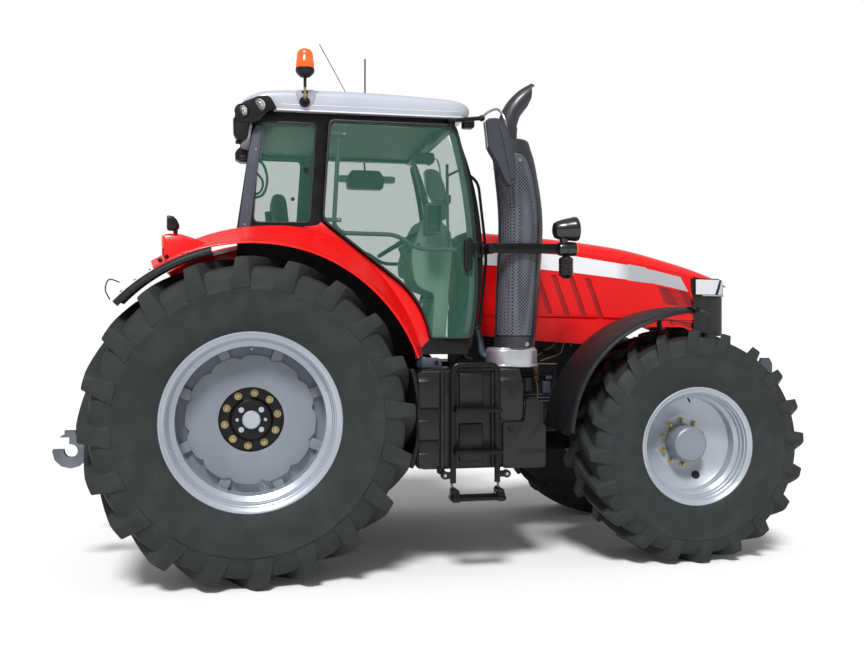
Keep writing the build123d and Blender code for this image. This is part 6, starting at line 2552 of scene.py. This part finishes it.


# ---- Under the bonnet, at the back and at the front axle -----------------------------------------
@dataclass
class Running:
    """Lines, coils, hoses and fasteners on the chassis."""

    def build(self) -> None:
        """Make the fittings of the chassis."""
        self.lines()
        self.rear()
        self.front()

    def lines(self) -> None:
        """Pipes, coil and blocks beside the engine."""
        brass = Form()
        for run, r in (
            (((2.05, 1.4), (2.28, 1.5)), 0.004), (((2.083, 1.386), (2.25, 1.479), (2.3, 1.52)), 0.005),
            (((2.139, 1.362), (2.3, 1.414), (2.312, 1.461), (2.33, 1.5)), 0.004),
            (((2.07, 1.34), (2.27, 1.338)), 0.005),
            (((2.102, 1.227), (2.117, 1.173), (2.117, 1.05), (2.089, 1.027)), 0.005),
        ):
            brass.rod(softened([(x, 0.33, z) for x, z in run], 0.03), r, 8)
        coil = [
            (
                2.102 + 0.019 * cos(2 * pi * i / 12), 0.335 + 0.019 * sin(2 * pi * i / 12),
                1.225 + 0.115 * i / 84,
            )
            for i in range(85)
        ]
        brass.rod(coil, 0.0035, 6)
        brass.doubled().piece("engine_lines", "chassis", "bright_steel", BRASS)
        grey = Form().box(
            (2.155, 2.215), (0.27, 0.34), (1.12, 1.21), 0.008, 3
        ).box((2.18, 2.235), (0.27, 0.33), (1.222, 1.25), 0.005)
        grey.turned(
            [(0, 0), (0, 0.03), (0.01, 0.034), (0.09, 0.034), (0.1, 0.026), (0.1, 0)],
            Matrix.Translation((2.03, 0.33, 1.14)), 24,
        )
        for z in (1.06, 1.085, 1.11):
            grey.rod([(1.99, 0.32, z), (2.3, 0.32, z)], 0.006, 10)
        grey.turned(
            [(0, 0), (0, 0.05), (0.008, 0.056), (0.16, 0.056), (0.18, 0.04), (0.18, 0)],
            Matrix.Translation((1.85, 0.345, 0.95)), 28,
        )
        grey.doubled().piece("engine_fittings", "chassis", "dark_metal", PILLAR_GREY)
        dark = Form()
        for y, x0, z0, x1, z1 in (
            (0.31, 1.7, 1.5, 2.26, 1.42), (0.3, 1.65, 1.3, 2.25, 1.25), (0.3, 1.7, 0.95, 2.3, 0.9)
        ):
            dark.rod(curved([(x0, y, z0), ((x0 + x1) / 2, y + 0.03, z0 - 0.04), (x1, y, z1)], 8), 0.016, 12)
        for x in (1.68, 1.84, 2.0, 2.16):
            dark.box((x - 0.05, x + 0.05), (0.26, 0.3), (1.55, 1.7), 0.012, 3)
        dark.doubled().piece("engine_hoses", "chassis", "black_plastic", SATIN_BLACK)
        posts = Form().turned(
            [(0, 0.03), (0.02, 0.026), (0.034, 0.02), (0.034, 0)], Matrix.Translation((2.35, 0.4, 1.47)), 16
        )
        posts.doubled().piece("bonnet_buffers", "chassis", "black_plastic", SATIN_BLACK)

    def rear(self) -> None:
        """Valve couplers and hoses at the back, and bolts on the axle and chassis."""
        caps, steel = Form(), Form()
        for y in (0.12, 0.17):
            for z in (1.21, 1.265):
                caps.turned(
                    [(0, 0), (0, 0.018), (0.03, 0.018), (0.034, 0.014), (0.034, 0)],
                    facing((-0.47, y, z), (-2, y, z)), 18,
                )
        for run in (
            ((-0.44, 0.24, 1.2), (-0.5, 0.3, 1.1), (-0.42, 0.34, 0.95), (-0.3, 0.3, 0.85)),
            ((-0.42, 0.2, 1.3), (-0.46, 0.28, 1.4), (-0.3, 0.3, 1.46)),
        ):
            caps.rod(curved(run, 8), 0.011, 10)
        caps.doubled()
        caps.piece("rear_couplers", "chassis", "black_plastic", SATIN_BLACK)
        for k in range(8):
            x, z = 0.155 * cos(k * pi / 4), REAR_RADIUS + 0.155 * sin(k * pi / 4)
            steel.bolt((x, 0.262, z), (x, 2, z), 0.012, 0.012)
        for x, z in ((-0.3, 0.7), (-0.1, 0.7), (0.3, 0.68), (0.7, 0.68), (1.1, 0.68), (1.3, 0.9), (1.3, 1.2)):
            steel.bolt((x, 0.26, z), (x, 2, z), 0.012, 0.01)
        steel.doubled()
        for k in range(10):
            turn = 2 * pi * k / 10
            steel.bolt(
                (-0.4, 0.1 * cos(turn), 0.76 + 0.1 * sin(turn)),
                (-2, 0.1 * cos(turn), 0.76 + 0.1 * sin(turn)), 0.008, 0.008,
            )
        steel.piece("chassis_bolts", "chassis", "bright_steel", BRASS)

    def front(self) -> None:
        """Hoses at the front axle."""
        dark = Form().rod(
            curved([(2.95, 0.2, 0.86), (2.9, 0.34, 0.84), (2.86, 0.5, 0.86), (2.84, 0.6, 0.84)], 6), 0.011,
            10,
        )
        dark.doubled().piece("axle_hoses", "chassis", "black_plastic", SATIN_BLACK)


# ---- Studio --------------------------------------------------------------------------------------
@dataclass
class Studio:
    """Pale floor, plain light and the camera."""

    camera_at: Point = (-0.09 + REAR_AXLE_X, -7.25, 1.62)
    yaw: float = 11.44
    pitch: float = 0.2
    lens: float = 40.175
    sun_turn: Point = (37.0, -14.0, 0.0)  # degrees from straight down
    sun: float = 3.3
    sky: float = 0.42

    def floor(self) -> None:
        """A wide pale floor that keeps the shadow and fades into the background."""
        part = bmesh.new()
        bmesh.ops.create_grid(part, x_segments=1, y_segments=1, size=60)
        mesh = bpy.data.meshes.new("floor")
        part.to_mesh(mesh)
        part.free()
        made = bpy.data.objects.new("floor", mesh)
        bpy.context.scene.collection.objects.link(made)
        graph = Graph("pale floor")
        graph.feed("Base Color", (0.9, 0.9, 0.9, 1.0))
        graph.feed("Roughness", 0.9)
        graph.feed("Specular IOR Level", 0.1)
        path = graph.node("LightPath", {})
        rays = path.outputs["Is Camera Ray"]
        for other in ("Is Glossy Ray", "Is Transmission Ray"):
            rays = graph.node("Math", {0: rays, 1: path.outputs[other]}, operation="MAXIMUM").outputs[0]
        glow = graph.node("Math", {0: rays, 1: 0.01}, operation="MULTIPLY").outputs[0]
        graph.feed("Emission Color", (1.0, 1.0, 0.99, 1.0))
        graph.feed("Emission Strength", glow)
        mesh.materials.append(graph.material)

    def world(self) -> None:
        """Even light from all round, white to the camera."""
        world = bpy.data.worlds.new("studio")
        bpy.context.scene.world = world
        world.use_nodes = True
        tree = world.node_tree
        back = tree.nodes["Background"]
        path = tree.nodes.new("ShaderNodeLightPath")
        rays = path.outputs["Is Camera Ray"]
        seen = tree.nodes.new("ShaderNodeMath")
        seen.operation = "MAXIMUM"
        tree.links.new(rays, seen.inputs[0])
        tree.links.new(path.outputs["Is Transmission Ray"], seen.inputs[1])
        rays = seen.outputs[0]
        level = tree.nodes.new("ShaderNodeMapRange")
        tree.links.new(rays, level.inputs[0])
        level.inputs[3].default_value = self.sky
        level.inputs[4].default_value = 1.0
        back.inputs[0].default_value = (1.0, 1.0, 1.0, 1.0)
        tree.links.new(level.outputs[0], back.inputs[1])

    def lamps(self) -> None:
        """One broad lamp high up, a little towards the viewer."""
        lamp = bpy.data.lights.new("overhead", "SUN")
        lamp.energy = self.sun
        lamp.angle = radians(14)
        made = bpy.data.objects.new("overhead", lamp)
        made.rotation_euler = tuple(radians(a) for a in self.sun_turn)
        bpy.context.scene.collection.objects.link(made)

    def camera(self) -> None:
        """The camera at the side of the tractor."""
        lens = bpy.data.cameras.new("camera")
        lens.lens = self.lens
        lens.sensor_width = 36.0
        lens.clip_end = 200.0
        made = bpy.data.objects.new("camera", lens)
        made.location = self.camera_at
        made.rotation_euler = (radians(90 + self.pitch), 0, radians(-self.yaw))
        bpy.context.scene.collection.objects.link(made)
        bpy.context.scene.camera = made

    def build(self) -> None:
        """Set up the studio."""
        bpy.context.scene.view_settings.view_transform = "Standard"
        self.camera()
        self.floor()
        self.world()
        self.lamps()


PLAIN = {
    "front_axle": CAST, "knuckle_left": CAST, "knuckle_right": CAST, "steering_rod": STEEL,
    "transmission": CAST, "pto_shaft": STEEL, "engine_block": CAST, "front_frame": FRAME_BLACK,
    "front_links": PILLAR_GREY, "lower_links": WORN_STEEL, "lift_arms": CAST, "lift_rods": FRAME_BLACK,
    "top_link": FRAME_BLACK, "drawbar": CAST, "cab_frame": FRAME_BLACK, "cab_floor": MOULDED,
    "cab_roof": ROOF, "cab_glass": GLASS, "door_left": FRAME_BLACK, "door_right": FRAME_BLACK,
    "door_glass_left": GLASS, "door_glass_right": GLASS, "seat_base": MOULDED, "seat_pads": SEAT_CLOTH,
    "dash": INNER_GREY, "steering_wheel": SATIN_BLACK, "rear_fenders": RED, "fender_extensions": MOULDED,
    "hood": RED, "hood_grille": GRILLE_MESH, "side_tanks": TANK_BLACK, "ladders": FRAME_BLACK,
    "aftertreatment_casing": ALUMINIUM, "exhaust_stack": STACK_MESH, "mirrors": SATIN_BLACK,
    "work_lamps": SATIN_BLACK, "beacon": AMBER, "front_fender_left": MOULDED, "front_fender_right": MOULDED,
}

REAR_TYRE = Tyre(
    radius=REAR_RADIUS, width=0.71, bead_r=0.533, flange_h=0.026, rim_half=0.305, lug_h=0.055, centre_y=0.935,
    axle_x=0.0,
)
FRONT_TYRE = Tyre(
    radius=0.8, width=0.6, bead_r=0.381, flange_h=0.025, rim_half=0.255, lug_h=0.048, centre_y=0.885,
    axle_x=WHEELBASE,
)


def main() -> None:
    """Build the studio, then the pieces from the ground up."""
    logging.basicConfig(level=logging.INFO, format="%(message)s")
    Studio().build()
    for node, finish in PLAIN.items():
        dress(node, finish)
    REAR_TYRE.build("rear")
    FRONT_TYRE.build("front")
    RearWheel(REAR_TYRE, well_depth=0.055, dish_y=0.104).build()
    FrontWheel(FRONT_TYRE, well_depth=0.045, dish_y=0.015).build()
    Bonnet().build()
    FrontFenders().build()
    RearFenders().build()
    for part in (Cab(), Roof(), Beacon(), Exhaust(), Mirrors(), WorkLamps(), Tanks(), Interior(), Running()):
        part.build()


if __name__ == "__main__":
    main()
